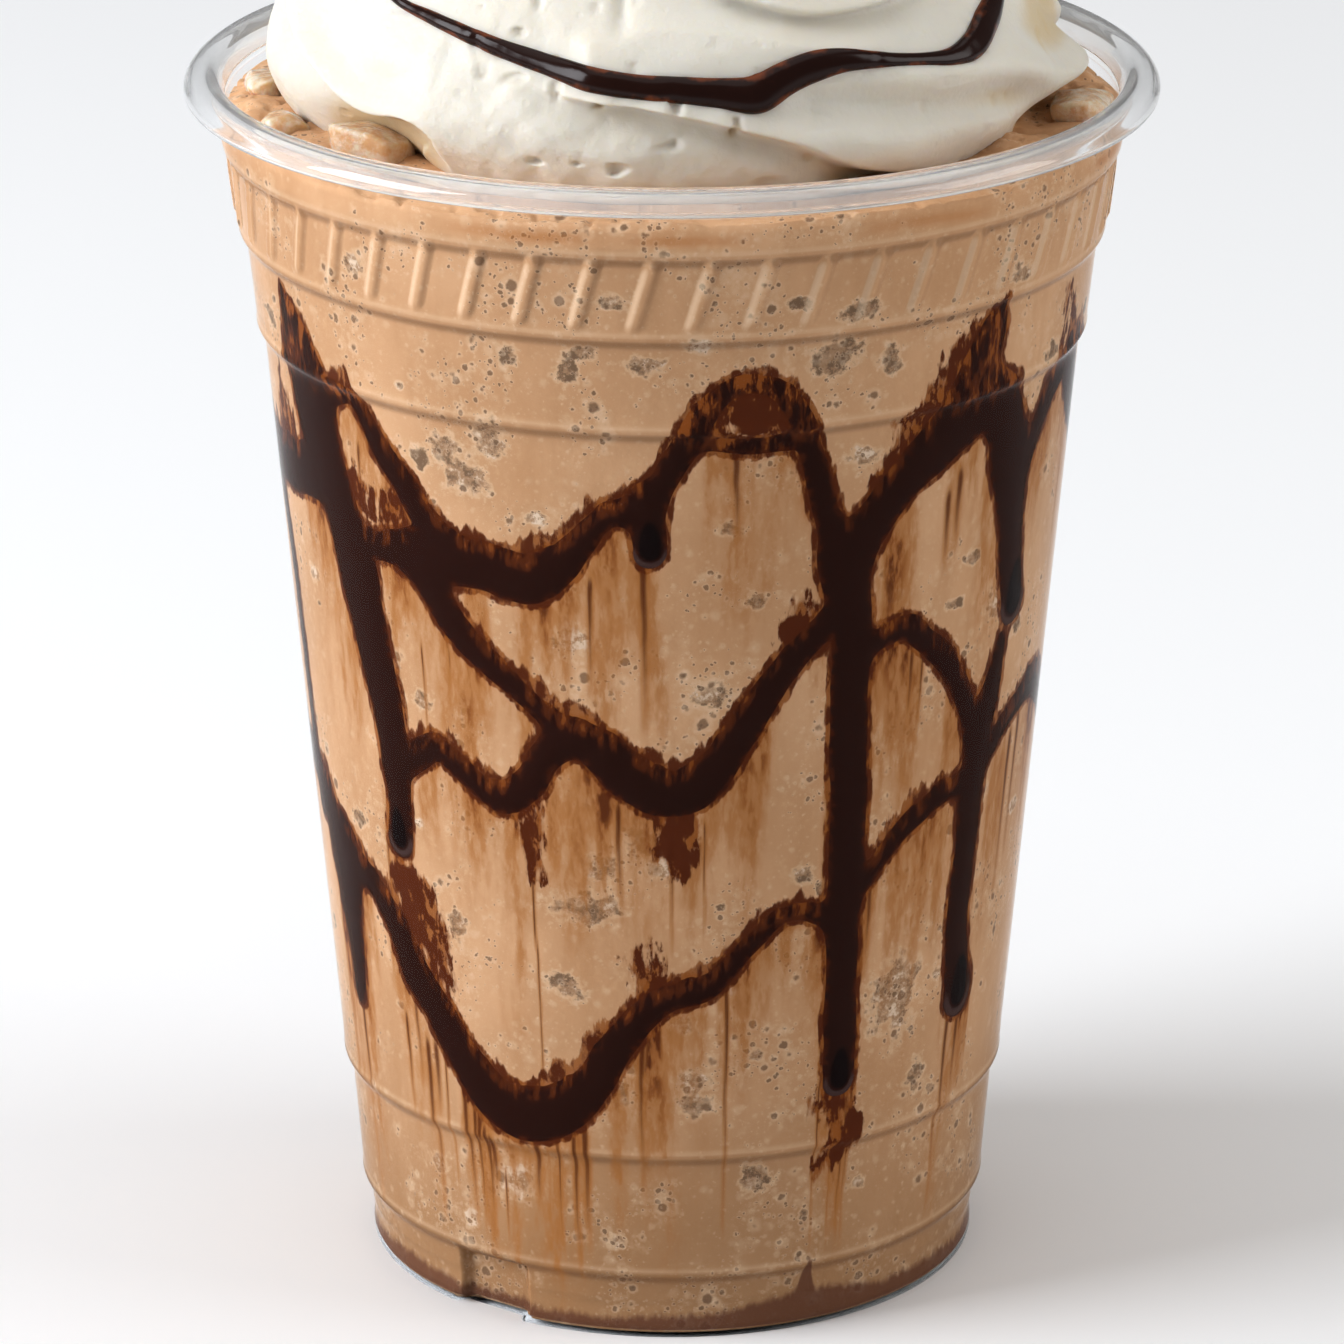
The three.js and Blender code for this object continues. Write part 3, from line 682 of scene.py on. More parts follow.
# Soft valleys between folds: a line of angle and height, depth and half width
CREAM_VALLEYS = [
    ([(-72, 136), (-63, 133.4), (-55, 131.5), (-48.5, 130.2), (-42, 130.6), (-36, 131)], 0.8, 1.8),
    ([(10, 131), (17.5, 130.8), (24.5, 130.2), (34, 129.2), (43, 128.4), (51, 127.9),
      (60, 127.0), (70, 125.6)],
     1.3, 1.7),
    ([(-9, 142), (-8.5, 139.5), (-8, 137)], 0.9, 0.9),
    ([(-38, 134.6), (-30, 133), (-24, 131.4)], 0.5, 2.0),
]


def line_distance(angle, height, points):
    """Distance in mm from a line on the cream, which side of it, and the share along it."""
    line = spline(points, 5)
    best = np.full(np.shape(angle), 99.0)
    side = np.zeros(np.shape(angle))
    along = np.zeros(np.shape(angle))
    for number, (a, b) in enumerate(zip(line, line[1:])):
        x = turn_between(angle, a[0]) * DEGREE
        y = height - a[1]
        run = np.array([(b[0] - a[0]) * DEGREE, b[1] - a[1]])
        away, share = to_segment(x, y, run)
        closer = away < best
        side = np.where(closer, np.sign(run[0] * y - run[1] * x), side)
        along = np.where(closer, (number + share) / (len(line) - 1), along)
        best = np.where(closer, away, best)
    return best, side, along


def fold_relief(angle, height, line, rise, above, below, hollow, reach):
    """The relief of one fold: an edge with a soft slope above and a drop below it."""
    away, side, along = line_distance(angle, height, line)
    fade = window(along, 0, 0.14, 0.86, 1)
    over = rise * np.exp(-((away / above) ** 1.4))
    under = (rise + hollow) * bump(away, below) - hollow * bump(away, reach)
    return fade * np.where(side > 0, over, under)


def cream_roughness(angle, height):
    """Where the cream is torn and pitted: low at the front, and higher up at the left."""
    low = window(angle, -36, -26, 6, 24) * (1 - smoothstep(131, 135, height))
    high = 0.7 * bump(turn_between(angle, -30), 22) * smoothstep(133, 137, height)
    return np.maximum(low, high)


def add_relief(out, angle, height):
    """Adds to out the relief of the cream that the photograph shows."""
    for at, level, half_width, half_height, move in CREAM_FEATURES:
        near = move * bump(turn_between(angle, at), half_width)
        out = out + near * bump(height - level, half_height)
    for line, *shape in CREAM_FOLDS:
        out = out + fold_relief(angle, height, line, *shape)
    for line, depth, half_width in CREAM_VALLEYS:
        away, side, along = line_distance(angle, height, line)
        out = out - depth * window(along, 0, 0.2, 0.8, 1) * bump(away, half_width)
    return out


def cream_point(angle, share):
    """The cream's surface at an angle and a share of its outline from foot to top, and how much
    painted warm shade each point gets, by how deep it lies in a hollow or pit."""
    place = share * (len(CREAM_LINE) - 1)
    fine = spline(CREAM_LINE, 12)
    fine_ticks = np.linspace(0, len(CREAM_LINE) - 1, len(fine))
    radius = np.interp(place, fine_ticks, fine[:, 0])
    height = np.interp(place, fine_ticks, fine[:, 1])
    lift = np.maximum(0, height - CREAM_LINE[2][1])
    fade = smoothstep(1, 14, radius)
    foot = smoothstep(119.7, 121.4, height)
    turns = lift / CREAM_TIER_HEIGHT + angle / 360
    seen = window(angle, -104, -80, 84, 104) * (1 - smoothstep(140, 147, height))
    groove = abs(np.cos(np.pi * (turns - 0.1))) ** 6
    flute = np.sin(np.radians(CREAM_FLUTES * angle + 300 * lift / CREAM_TIER_HEIGHT))
    flute = 1 - 2 * abs(flute) ** 1.5
    out = -CREAM_GROOVE * groove * smoothstep(0, 2, lift) * (1 - seen)
    out = out + CREAM_FLUTE_DEPTH * flute * (1 - 0.9 * seen)
    out = add_relief(out, angle, height)
    base = around(angle, radius, height)
    rough = cream_roughness(angle, height)
    lumps = 0.45 * layered_noise(base, 12, 201, 2)
    lumps = lumps + (0.1 + 0.5 * rough) * layered_noise(base, 4.4, 203, 3)
    pits = smoothstep(0.48, 0.72, smooth_noise(base, 1.9, 207)) * (0.12 + 0.6 * rough)
    out = out + lumps - pits
    # Painted warm shade, by how deep a point lies in a hollow or pit
    painted_hollow_shade = smoothstep(0.5, 2.6, -(out - lumps)) + 0.6 * pits
    point = around(angle, np.maximum(0.05, radius + out * fade * foot), height)
    return point + CREAM_CENTRE, painted_hollow_shade * fade * foot


def whipped_cream():
    """The swirl of cream, and its rings of points for what lies on it."""
    columns, rows = 640, 330
    share = np.concatenate([[0, 0.05], np.linspace(0.07, 1, rows)])
    angle, share = np.meshgrid(np.arange(columns) * 360 / columns - 180, share)
    rings, painted_hollow_shade = cream_point(angle, share)
    obj = closed_skin("cream_swirl", rings)
    set_attribute(obj, "painted_hollow_shade", np.concatenate([painted_hollow_shade.ravel(), [0, 0]]))
    return obj, rings


# Sauce drizzled over the cream: angle, height and width, from the left round the front,
# then on round the back and over the top
DRIZZLE = [
    (-76, 150, 2.0), (-62, 143, 1.8), (-54, 139, 1.3), (-47.5, 137.4, 1.0), (-40.5, 136.8, 1.3),
    (-32, 136.0, 1.6), (-25.5, 135.2, 1.9), (-17, 134.2, 2.3), (-11.5, 133.7, 2.6),
    (-5, 133.2, 2.6), (1, 132.9, 2.7), (7.5, 132.4, 3.0), (11.5, 132.3, 3.6), (15.5, 133.5, 3.3),
    (20, 134.4, 2.9), (24.5, 134.7, 2.3), (29, 134.4, 1.8), (33.5, 134.0, 1.4), (38, 133.6, 1.4),
    (42.5, 133.3, 1.9), (47.5, 133.6, 2.9), (53, 134.9, 3.1), (58.5, 136.2, 3.0), (66, 140, 2.6),
    (80, 146, 2.3), (100, 149, 2.3), (140, 145, 2.3), (180, 138, 2.3), (215, 140, 2.3),
    (250, 149, 2.3), (300, 157, 2.3), (345, 153, 2.3), (375, 149, 2.3), (405, 151, 2.3),
    (450, 158, 2.3), (520, 161, 2.0),
]


def cream_place(rings, angle, height):
    """The outermost point of the cream at an angle and height, and the way out from it."""
    columns = rings.shape[1]
    column = (angle + 180) % 360 / 360 * columns
    low, part = int(column) % columns, column % 1
    line = rings[:, low] * (1 - part) + rings[:, (low + 1) % columns] * part
    row = len(line) - 1 - np.argmax(line[::-1, 2] < height)
    row = min(max(row, 2), len(line) - 3)
    share = (height - line[row, 2]) / max(line[row + 1, 2] - line[row, 2], 1e-3)
    point = line[row] + np.clip(share, 0, 1) * (line[row + 1] - line[row])
    along = rings[row, (low + 3) % columns] - rings[row, (low - 3) % columns]
    rise = line[row + 2] - line[row - 2]
    out = np.cross(along, rise)
    return point, out / np.linalg.norm(out)


def drizzle_bead(rings, smoothing=10, sides=20):
    """A flattened rounded bead of sauce that follows the cream."""
    line = spline(DRIZZLE, 14)
    places = [cream_place(rings, angle, height) for angle, height, width in line]
    middle = np.array([point for point, out in places])
    surface = middle.copy()
    out = np.array([out for point, out in places])
    for turn in range(smoothing):
        middle[1:-1] = (middle[:-2] + 2 * middle[1:-1] + middle[2:]) / 4
        out[1:-1] = (out[:-2] + 2 * out[1:-1] + out[2:]) / 4
    # Where smoothing has sunk the bead into a ridge, it comes up again
    sunk = np.maximum(0, ((surface - middle) * out).sum(-1))
    middle = middle + out * sunk[:, None]
    along = np.gradient(middle, axis=0)
    along /= np.linalg.norm(along, axis=1)[:, None]
    side = np.cross(along, out)
    side /= np.linalg.norm(side, axis=1)[:, None]
    out = np.cross(side, along)
    wave = layered_noise(middle, 7, 301)
    width = line[:, 2] * (1 + 0.16 * wave)
    taper = np.sqrt(np.clip(np.arange(len(line)) / 6, 0.02, 1))
    width = width * taper * taper[::-1]
    ring = np.radians(np.arange(sides) * (360 // sides))
    across = np.sign(np.cos(ring)) * abs(np.cos(ring)) ** 0.9
    up = np.where(np.sin(ring) > 0, 0.5 * np.sin(ring), 0.4 * np.sin(ring))
    tall = 0.35 + 0.42 * width
    points = middle[:, None] + side[:, None] * (across * width[:, None] / 2)[..., None]
    points = points + out[:, None] * (0.02 + up * tall[:, None])[..., None]
    obj = closed_skin("cream_drizzle", points[:, ::-1])
    edge = np.tile(abs(across[::-1]), (len(line), 1)).ravel()
    set_attribute(obj, "edge", np.concatenate([edge, [0, 0]]))
    return obj


# Ice: place, size and turn of each chunk on the surface
ICE_CHUNKS = [
    (-29.6, -20.2, 122.4, 9.4, 6, 5.6, -28),
    (-38.6, -10.4, 122, 4.6, 5.4, 3.6, 20),
    (-41.4, 5, 122, 3.8, 8, 3.4, 8),
    (40.9, -4.6, 122.2, 6, 9.6, 4.2, -10),
    (-33.6, 24.6, 121.9, 5, 6.4, 3.6, 35),
    (33.8, 23.2, 121.9, 4.6, 6.2, 3.8, -32),
]
# Flat sides of a chunk besides those of its box, and how sharp the edges between them are
ICE_FACETS = 17
ICE_EDGE_SHARPNESS = 14


def ice_lump(name, x, y, z, length, width, thickness, turn, seed):
    """A chipped chunk of ice: flat facets with worn edges."""
    random = np.random.default_rng(seed)
    columns, rows = 64, 40
    turns = np.arange(columns) / columns * 2 * np.pi
    angle, lift = np.meshgrid(turns, np.linspace(-1.54, 1.54, rows))
    way = [np.cos(angle) * np.cos(lift), np.sin(angle) * np.cos(lift), np.sin(lift)]
    way = np.stack(way, -1)
    facets = random.normal(size=(ICE_FACETS, 3))
    facets /= np.linalg.norm(facets, axis=1)[:, None]
    box = [[0, 0, 1], [0, 0, -1], [1, 0, 0], [-1, 0, 0], [0, 1, 0], [0, -1, 0]]
    facets = np.concatenate([facets, box])
    depth = np.concatenate([random.uniform(0.86, 1.1, ICE_FACETS), np.full(6, 0.93)])
    reach = depth / np.maximum(way @ facets.T, 0.12)
    soft = -np.log(np.exp(-ICE_EDGE_SHARPNESS * reach).sum(-1)) / ICE_EDGE_SHARPNESS
    shape = way * soft[..., None] * (1 + 0.06 * layered_noise(way * 10, 4, seed))[..., None]
    points = shape * np.array([length, width, thickness]) / 2
    cos, sin = math.cos(math.radians(turn)), math.sin(math.radians(turn))
    spin = np.array([[cos, sin, 0], [-sin, cos, 0], [0, 0, 1]])
    return closed_skin(name, points @ spin + np.array([x, y, z]))


# Lumps of ice that press against the wall, as marks on the drink's side: angle, height,
# width, tallness and tone, where tone 0 is dark and clear and 1 is white and frosted
WALL_LUMPS = [
    (-15, 77.5, 3.6, 4.0, 0.95), (-15.5, 83, 2.6, 2.4, 0.8), (-14, 48.5, 8.5, 3.6, 0.45),
    (-17, 39.5, 4.6, 2.6, 0.4), (-4, 56, 5.2, 3.6, 0.1), (-2, 53.5, 3.4, 2.4, 0.85),
    (4, 29.6, 4.4, 2.4, 0.75), (4, 27, 4.6, 2.6, 0.4), (-6, 31.5, 2.6, 2.8, 0.15),
    (-9, 28, 2.8, 3.0, 0.2), (2, 36, 2.8, 2.2, 0.7), (15, 18, 4.0, 3.2, 0.25),
    (40, 36, 6.6, 9.5, 0.55), (46, 26, 3.0, 4.0, 0.2), (-37, 44, 2.6, 3.4, 0.5),
    (-29, 16.5, 5.6, 4.6, 0.9), (-39.5, 11, 2.4, 2.4, 1.0), (-10, 11, 2.6, 1.8, 0.7),
    (22, 107, 4.8, 4.4, 0.1), (-26, 98, 3.4, 4.6, 0.45), (-30, 93.5, 4.2, 4.0, 0.55),
    (12, 82, 2.2, 2.0, 0.2), (-3.5, 107, 3.2, 2.4, 0.5), (6, 72, 4.4, 2.4, 0.6),
    (-22, 107, 2.0, 2.6, 0.15), (-14, 106, 2.0, 3.4, 0.1), (30, 106, 2.6, 3.4, 0.3),
    (-33, 96, 3.6, 3.2, 0.5), (24, 111.5, 3.0, 2.0, 0.3), (16, 113, 2.4, 1.8, 0.35),
    (-8, 113.5, 2.6, 1.8, 0.35), (-45, 114, 2.4, 2.8, 0.6), (4, 109, 3.0, 1.8, 0.7),
]


def wall_lumps(scattered=150):
    """The lumps above, and small ones scattered all round."""
    random = np.random.default_rng(7)
    lumps = list(WALL_LUMPS)
    for number in range(scattered):
        wide = random.uniform(1.2, 3.6)
        lumps.append((random.uniform(-180, 180), random.uniform(9, 117), wide,
                      wide * random.uniform(0.5, 1.0), random.uniform(0.1, 0.9)))
    return lumps


# Materials

SMEAR_COLOUR = (0.41, 0.175, 0.052)
STREAK_COLOUR = (0.10, 0.022, 0.006)
RIM_COLOUR = (0.29, 0.098, 0.021)
RIM_DARK_COLOUR = (0.15, 0.038, 0.009)
SAUCE_COLOUR = (0.028, 0.008, 0.005)
SAUCE_EDGE_COLOUR = (0.08, 0.018, 0.006)

# Bubbles in the drink: cells for each millimetre, and their largest share of a cell
BUBBLES = [(0.9, 0.3), (0.5, 0.28), (1.6, 0.3), (0.3, 0.22)]


class Graph:
    """A new material, with short ways to add and join its shader nodes."""

    def __init__(self, name):
        self.material = bpy.data.materials.new(name)
        self.material.use_nodes = True
        self.tree = self.material.node_tree
        self.shader = self.tree.nodes["Principled BSDF"]

    def fill(self, node, inputs):
        """Links each input of a node to a socket, or sets it to a constant."""
        for key, value in inputs.items():
            if isinstance(value, bpy.types.NodeSocket):
                self.tree.links.new(value, node.inputs[key])
            else:
                node.inputs[key].default_value = value

    def finish(self, look):
        self.fill(self.shader, look)
        return self.material

    def add(self, kind, inputs, **settings):
        node = self.tree.nodes.new("ShaderNode" + kind)
        for key, value in settings.items():
            setattr(node, key, value)
        self.fill(node, inputs)
        return node.outputs

    def attribute(self, name):
        return self.add("Attribute", {}, attribute_name=name)["Fac"]

    def math(self, operation, a, b):
        return self.add("Math", {0: a, 1: b}, operation=operation)[0]

    def spot(self, *scale):
        """Places on the object in mm, stretched by scale."""
        place = self.add("TexCoord", {})["Object"]
        scale = [value / MM for value in scale or (1, 1, 1)]
        return self.add("Mapping", {"Vector": place, "Scale": scale})[0]

    def noise(self, spot, scale, detail=3.0, roughness=0.55):
        inputs = {"Vector": spot, "Scale": scale, "Detail": detail, "Roughness": roughness}
        return self.add("TexNoise", inputs)["Fac"]

    def cells(self, spot, scale):
        return self.add("TexVoronoi", {"Vector": spot, "Scale": scale})

    def shifted(self, spot, scale, reach):
        """Places moved about by up to half of reach, so that what they colour is uneven."""
        move = self.add("TexNoise", {"Vector": spot, "Scale": scale})["Color"]
        inputs = {0: move, 1: (reach, reach, reach), 2: spot}
        return self.add("VectorMath", inputs, operation="MULTIPLY_ADD")[0]

    def span(self, value, low, high, to_low=0.0, to_high=1.0):
        """Maps value from low..high to to_low..to_high with soft ends."""
        inputs = {"Value": value, "From Min": low, "From Max": high}
        inputs |= {"To Min": to_low, "To Max": to_high}
        return self.add("MapRange", inputs, interpolation_type="SMOOTHSTEP")["Result"]

    def ragged(self, value, noise, reach):
        """A value with noise added, of up to reach either way."""
        return self.math("ADD", value, self.span(noise, 0.3, 0.7, -reach, reach))

    def mix(self, share, under, over):
        """The colours under and over, each a colour or a socket, mixed by share."""
        under, over = [(*c, 1) if isinstance(c, tuple) else c for c in (under, over)]
        return self.add("Mix", {0: share, 6: under, 7: over}, data_type="RGBA")[2]

    def cover(self, under, *layers):
        """Lays colours on under, one after another: each appears as its value goes from low
        to high, up to its share."""
        for value, low, high, share, colour in layers:
            under = self.mix(self.span(value, low, high, 0, share), under, colour)
        return under

    def bump(self, height, strength, distance):
        inputs = {"Height": height, "Strength": strength, "Distance": distance * MM}
        return self.add("Bump", inputs)["Normal"]


def coffee_colour(g, spot):
    """Coffee with grain, marks of its flow, a darker foot and clusters of froth."""
    tint = g.span(g.noise(spot, 0.06), 0.35, 0.7)
    colour = g.cover(
        g.mix(tint, (0.55, 0.325, 0.18), (0.635, 0.39, 0.228)),
        (g.noise(spot, 1.1), 0.5, 0.8, 0.3, (0.68, 0.46, 0.28)),
        (g.noise(g.spot(1, 1, 0.09), 0.3), 0.45, 0.75, 0.3, (0.46, 0.25, 0.12)),
        (g.add("SeparateXYZ", {0: spot})["Z"], 40, 2, 0.55, (0.26, 0.14, 0.06)),
    )
    clusters = g.span(g.noise(spot, 0.13, 2), 0.42, 0.60)
    froth = g.math("MULTIPLY", g.span(g.noise(spot, 0.5, 4, 0.65), 0.48, 0.68), clusters)
    return g.mix(g.math("MULTIPLY", froth, 0.28), colour, (0.76, 0.57, 0.40)), clusters


def add_ice_and_bubbles(g, spot, colour, clusters):
    """Lumps of ice with a pale rim, and bubbles, most of them in clusters and by the ice. Each
    bubble is a dark middle of painted shade in its hole, inside a pale ring of painted highlight.
    """
    lump = g.ragged(g.attribute("lump"), g.noise(spot, 0.9, 4, 0.6), 0.3)
    tone = g.ragged(g.attribute("tone"), g.noise(spot, 0.7, 4, 0.7), 0.6)
    ice = g.mix(g.span(tone, 0.0, 0.6), (0.15, 0.09, 0.055), (0.36, 0.22, 0.13))
    ice = g.cover(ice, (tone, 0.6, 1.2, 1.0, (0.74, 0.60, 0.47)))
    colour = g.cover(colour, (lump, -0.3, 0.05, 0.4, (0.72, 0.53, 0.36)),
                     (lump, 0.05, 0.4, 0.85, ice))
    clusters = g.math("MAXIMUM", clusters, g.span(lump, -0.6, 0.1, 0, 0.8))
    bent = g.shifted(spot, 1.6, 0.5)
    for scale, size in BUBBLES:
        cells = g.cells(bent, scale)
        width = g.math("MULTIPLY", g.span(cells["Color"], 0.25, 0.85, 0.1, size), clusters)
        inside = g.math("SUBTRACT", width, cells["Distance"])
        # Each bubble: a pale ring of painted highlight round a dark middle of painted shade
        colour = g.cover(colour, (inside, -0.2, -0.04, 0.22, (0.78, 0.60, 0.43)),
                         (inside, -0.02, 0.07, 0.75, (0.17, 0.095, 0.055)))
    return colour


def add_shades_and_sauce(g, colour):
    """The shade of steps and ribs, the line of coffee under the surface, and thin sauce:
    smears, streaks, ragged rims, stains and the pool at the foot."""
    crease = g.attribute("crease")
    colour = g.cover(colour, (crease, 0.1, 1, 0.5, (0.22, 0.11, 0.055)),
                     (crease, -0.1, -1, 0.45, (0.84, 0.66, 0.48)))
    colour = g.mix(g.math("MULTIPLY", g.attribute("band"), 0.6), colour, (0.43, 0.165, 0.04))
    stripes = g.noise(g.spot(1, 1, 0.06), 0.42, 1.5)
    brush = g.span(g.noise(g.spot(1, 1, 0.3), 1.3), 0.3, 0.7, -0.5, 0.5)
    fleck = g.span(g.noise(g.spot(1, 1, 0.45), 0.8, 4, 0.6), 0.4, 0.72, 0.5, -0.8)
    smear = g.math("MULTIPLY", g.attribute("smear"), g.span(stripes, 0.3, 0.7, 0.4, 1.35))
    smear = g.math("MULTIPLY", smear, g.span(brush, -0.5, 0.5, 0.65, 1.3))
    streaks = g.attribute("streaks")
    feather = g.math("ADD", g.attribute("feather"), g.math("MULTIPLY", brush, 0.7))
    stain = g.math("ADD", g.attribute("stain"), brush)
    pool = g.math("ADD", g.attribute("pool"), g.math("MULTIPLY", brush, 0.5))
    rim = g.mix(g.span(fleck, -0.5, 0.4), RIM_COLOUR, RIM_DARK_COLOUR)
    return g.cover(
        colour,
        (smear, 0.0, 0.55, 0.8, SMEAR_COLOUR),
        (smear, 0.5, 1.1, 0.7, RIM_COLOUR),
        (smear, 0.9, 1.7, 0.85, STREAK_COLOUR),
        (streaks, 0.02, 0.5, 0.6, SMEAR_COLOUR),
        (streaks, 0.4, 0.9, 0.85, STREAK_COLOUR),
        (feather, 0.0, 0.4, 0.85, rim),
        (g.math("ADD", feather, fleck), 0.45, 1.1, 0.9, STREAK_COLOUR),
        (stain, -0.5, 0.3, 0.9, rim),
        (g.math("ADD", stain, g.math("MULTIPLY", fleck, 1.6)), 0.2, 0.7, 0.95, STREAK_COLOUR),
        (pool, -0.5, 0.6, 0.85, (0.145, 0.058, 0.035)),
    )


def drink_material():
    """The drink, with what shows through the wall as marks on its side."""
    g = Graph("drink")
    spot = g.spot()
    colour, clusters = coffee_colour(g, spot)
    colour = add_ice_and_bubbles(g, spot, colour, clusters)
    colour = add_shades_and_sauce(g, colour)
    relief = g.bump(g.noise(spot, 0.8), 0.3, 0.3)
    return g.finish({"Base Color": colour, "Normal": relief, "Roughness": 0.45,
                     "Specular IOR Level": 0.05})


def sauce_material():
    """Dark sauce, brown at its edges and where it is thin, with a painted highlight on each drop's
    lower edge.
    """
    g = Graph("sauce")
    depth = g.ragged(g.attribute("depth"), g.noise(g.spot(), 1.1, 4, 0.6), 0.35)
    brush = g.noise(g.spot(1, 1, 0.3), 0.9, 4, 0.6)
    mottle = g.math("MULTIPLY", g.attribute("thin"), g.span(brush, 0.38, 0.66))
    painted_drop_highlight = g.attribute("painted_drop_highlight")
    colour = g.cover(
        g.mix(g.span(depth, 0.05, 0.8), SAUCE_EDGE_COLOUR, SAUCE_COLOUR),
        (mottle, 0.1, 0.6, 0.9, (0.105, 0.026, 0.008)),
        (mottle, 0.7, 1.0, 0.8, (0.30, 0.095, 0.02)),
        # Each drop: a darker middle, and a pale painted highlight along its lower edge
        (painted_drop_highlight, 0, -1, 1.0, (0.008, 0.003, 0.003)),
        (painted_drop_highlight, 0.1, 1, 0.8, (0.085, 0.05, 0.045)),
    )
    return g.finish({"Base Color": colour, "Roughness": 0.25, "Specular IOR Level": 0.04})


def drizzle_material():
    """Glossy sauce that is browner at its thin sides."""
    g = Graph("drizzle")
    spot = g.spot()
    uneven = g.span(g.noise(spot, 0.3), 0.35, 0.7, -0.35, 0.25)
    thin = g.span(g.math("ADD", g.attribute("edge"), uneven), 0.6, 1.05)
    colour = g.mix(thin, (0.022, 0.0065, 0.004), (0.16, 0.04, 0.012))
    relief = g.bump(g.noise(spot, 0.3, 2), 0.15, 0.4)
    return g.finish({"Base Color": colour, "Normal": relief, "Roughness": 0.2,
                     "Specular IOR Level": 0.25})


def cream_material():
    """Soft cream with fine pores, and painted warm shade in its hollows and pits."""
    g = Graph("cream")
    spot = g.spot()
    tint = g.span(g.noise(spot, 0.1), 0.35, 0.7)
    colour = g.mix(tint, (0.755, 0.71, 0.62), (0.775, 0.74, 0.66))
    # Painted warm shade in the hollows and pits
    colour = g.cover(colour, (g.attribute("painted_hollow_shade"), 0.15, 1.2, 0.8, (0.66, 0.50, 0.27)))
    pores = g.math("MULTIPLY", g.span(g.cells(spot, 0.5)["Distance"], 0.08, 0.22), 0.4)
    relief = g.bump(g.math("ADD", pores, g.noise(spot, 1.3, 4)), 0.3, 0.3)
    return g.finish({
        "Base Color": colour, "Normal": relief, "Roughness": 0.5, "Specular IOR Level": 0.35,
        "Subsurface Weight": 0.5, "Subsurface Radius": (1.0, 0.8, 0.5),
        "Subsurface Scale": 1.5 * MM,
    })


def ice_material():
    """Wet cloudy ice with coffee in it and frost in patches."""
    g = Graph("ice")
    spot = g.spot()
    frost = g.span(g.noise(spot, 0.45, 4, 0.7), 0.35, 0.7)
    colour = g.mix(frost, (0.80, 0.51, 0.29), (0.95, 0.85, 0.72))
    relief = g.bump(g.noise(spot, 0.7, 4), 0.6, 0.5)
    return g.finish({
        "Base Color": colour, "Normal": relief, "Roughness": 0.15, "IOR": 1.31,
        "Transmission Weight": 0.25, "Subsurface Weight": 0.6,
        "Subsurface Radius": (1.0, 0.7, 0.4), "Subsurface Scale": 2.5 * MM,
    })


def plastic_material(name, index, clarity=1.0):
    """Clear plastic that bends light but lets the lamps through to the drink."""
    g = Graph(name)
    relief = g.bump(g.noise(g.spot(), 0.06, 2), 0.06, 0.4)
    clear = g.add("BsdfTransparent", {"Color": (0.96, 0.965, 0.97, 1)})[0]
    lamp = g.add("LightPath", {})["Is Shadow Ray"]
    blend = g.add("MixShader", {0: lamp, 1: g.shader.outputs[0], 2: clear})[0]
    g.fill(g.tree.nodes["Material Output"], {"Surface": blend})
    return g.finish({"Base Color": (0.985, 0.99, 0.992, 1), "Normal": relief,
                     "Transmission Weight": clarity, "Roughness": 0.03, "IOR": index})


def finish_cup(cup):
    """The wall against the drink is dull, and the free lip shines."""
    cup.data.materials.append(plastic_material("cup_wall", 1.07))
    cup.data.materials.append(plastic_material("cup_lip", 1.45, 0.91))
    for face in cup.data.polygons:
        face.material_index = int(face.center.z > LIP_FOOT_HEIGHT * MM)


def place(obj, material, slot, *nodes):
    """Gives a piece its material and body, and hides the nodes that it stands for. The slot is not
    used.
    """
    if material:
        obj.data.materials.append(material)
    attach(obj, "root")
    if nodes:
        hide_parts(*nodes)


# Lengths in metres from here on
LIGHT_TARGET = (0, 0, 0.08)
CAMERA_LENS = 220.47
CAMERA_PLACE = (0, -0.8, 0.3396)
CAMERA_LOOKS_DOWN = 19.195


def add_floor(size=3.0):
    corners = [(-size, -size, 0), (size, -size, 0), (size, size, 0), (-size, size, 0)]
    mesh = bpy.data.meshes.new("floor")
    mesh.from_pydata(corners, [], [(0, 1, 2, 3)])
    floor = bpy.data.objects.new("floor", mesh)
    bpy.context.scene.collection.objects.link(floor)
    look = {"Base Color": (0.93, 0.93, 0.93, 1), "Roughness": 0.9, "Specular IOR Level": 0.1}
    mesh.materials.append(Graph("floor").finish(look))


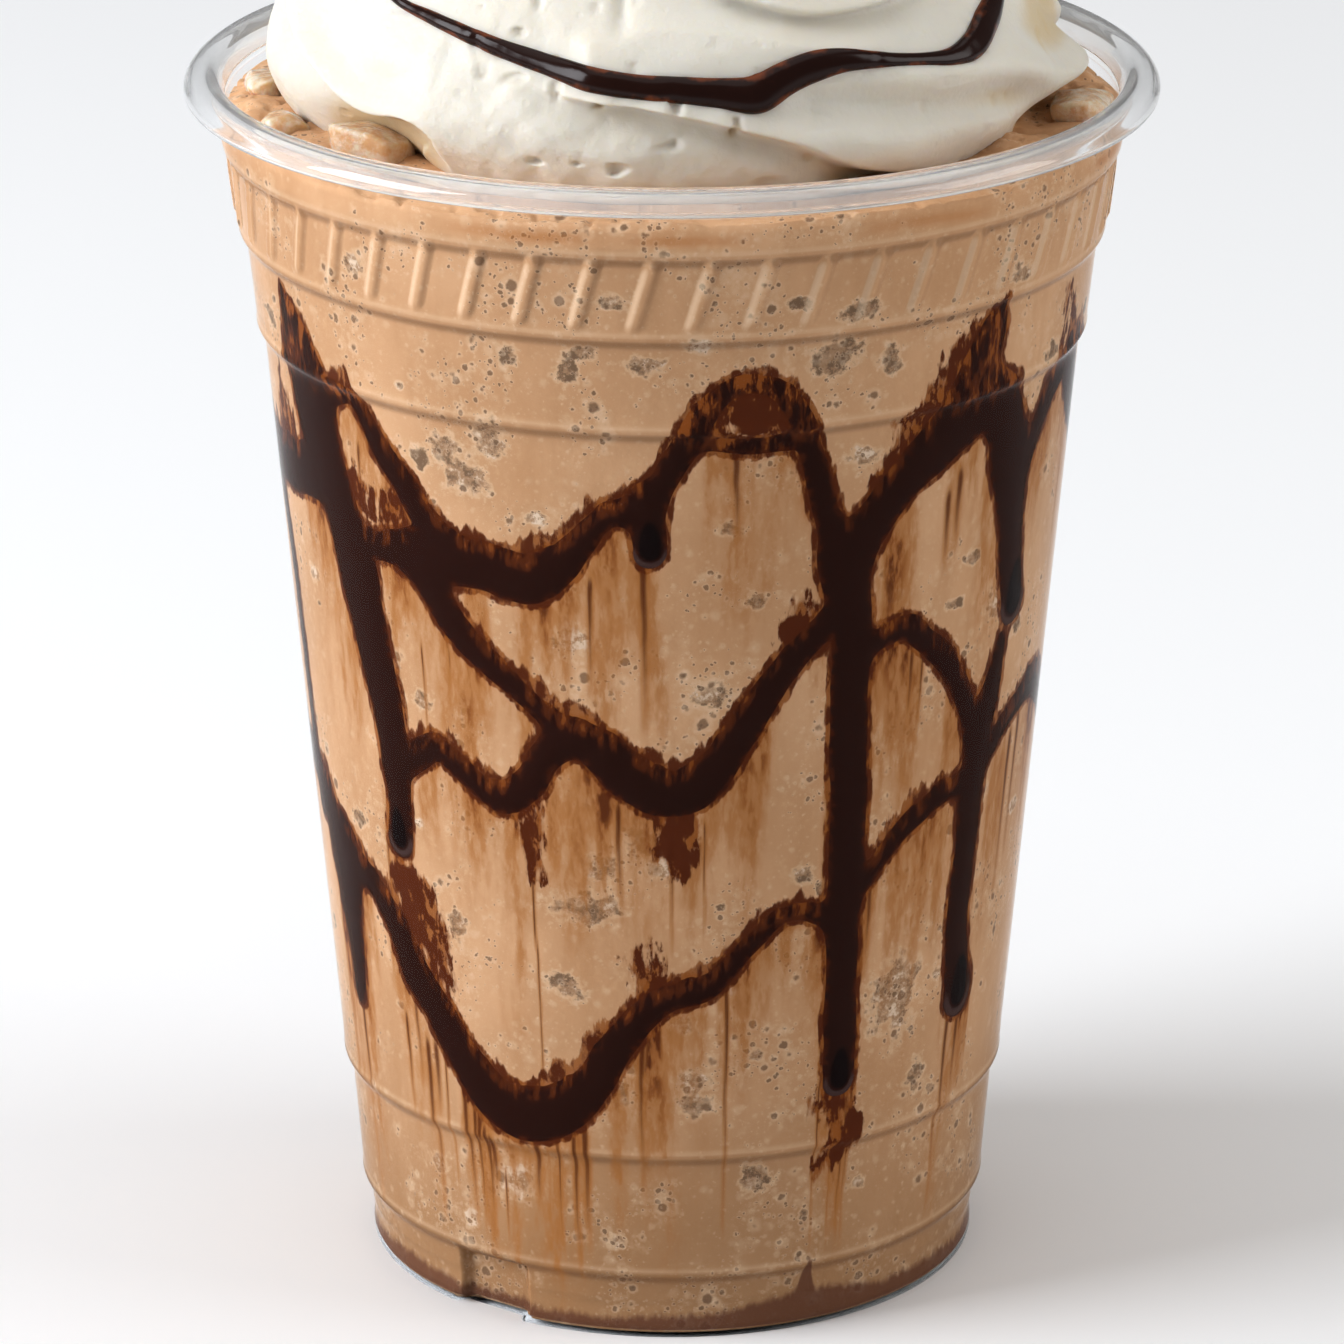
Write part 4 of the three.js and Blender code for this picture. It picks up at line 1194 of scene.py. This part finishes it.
def add_light(name, azimuth, elevation, distance, size, power, colour=(1, 1, 1)):
    """A square soft light that looks at the middle of the cup."""
    target = Vector(LIGHT_TARGET)
    turn, rise = math.radians(azimuth), math.radians(elevation)
    level = math.cos(rise)
    away = Vector((math.sin(turn) * level, -math.cos(turn) * level, math.sin(rise)))
    data = bpy.data.lights.new(name, "AREA")
    data.energy = power
    data.size = size
    data.color = colour
    light = bpy.data.objects.new(name, data)
    light.location = target + away * distance
    light.rotation_euler = (-away).to_track_quat("-Z", "Y").to_euler()
    light.visible_transmission = False
    bpy.context.scene.collection.objects.link(light)


def add_camera():
    """The photograph's camera, as the cup's rim, steps and foot give it."""
    data = bpy.data.cameras.new("camera")
    data.sensor_width = 36
    data.lens = CAMERA_LENS
    camera = bpy.data.objects.new("camera", data)
    camera.location = CAMERA_PLACE
    camera.rotation_euler = (math.radians(90 - CAMERA_LOOKS_DOWN), 0, 0)
    bpy.context.scene.collection.objects.link(camera)
    bpy.context.scene.camera = camera


def add_world():
    world = bpy.data.worlds.new("studio")
    bpy.context.scene.world = world
    world.use_nodes = True
    background = world.node_tree.nodes["Background"]
    background.inputs["Color"].default_value = (1, 1, 1, 1)
    background.inputs["Strength"].default_value = 0.2


bpy.context.scene.view_settings.view_transform = "Standard"
bpy.context.scene.view_settings.gamma = 0.86
add_camera()
add_world()
add_light("key", -76, 27, 1.5, 0.9, 23.5, (0.97, 1.0, 1.05))
add_light("fill", 82, 25, 1.6, 1.0, 10)
add_light("top", 0, 89, 2.4, 3.0, 28)
add_floor()

cup = cup_shell()
finish_cup(cup)
place(cup, None, "cup_plastic", "cup")
place(drink_body(), drink_material(), "drink", "drink")
place(wall_sauce(), sauce_material(), "sauce", "wall_sauce")
cream, cream_rings = whipped_cream()
place(cream, cream_material(), "cream", "whipped_cream")
place(drizzle_bead(cream_rings), drizzle_material(), "sauce")
ice = ice_material()
for number, chunk in enumerate(ICE_CHUNKS, 1):
    piece = ice_lump(f"ice_{number}", *chunk, seed=number)
    place(piece, ice, "ice", f"ice_chunk_{number}")
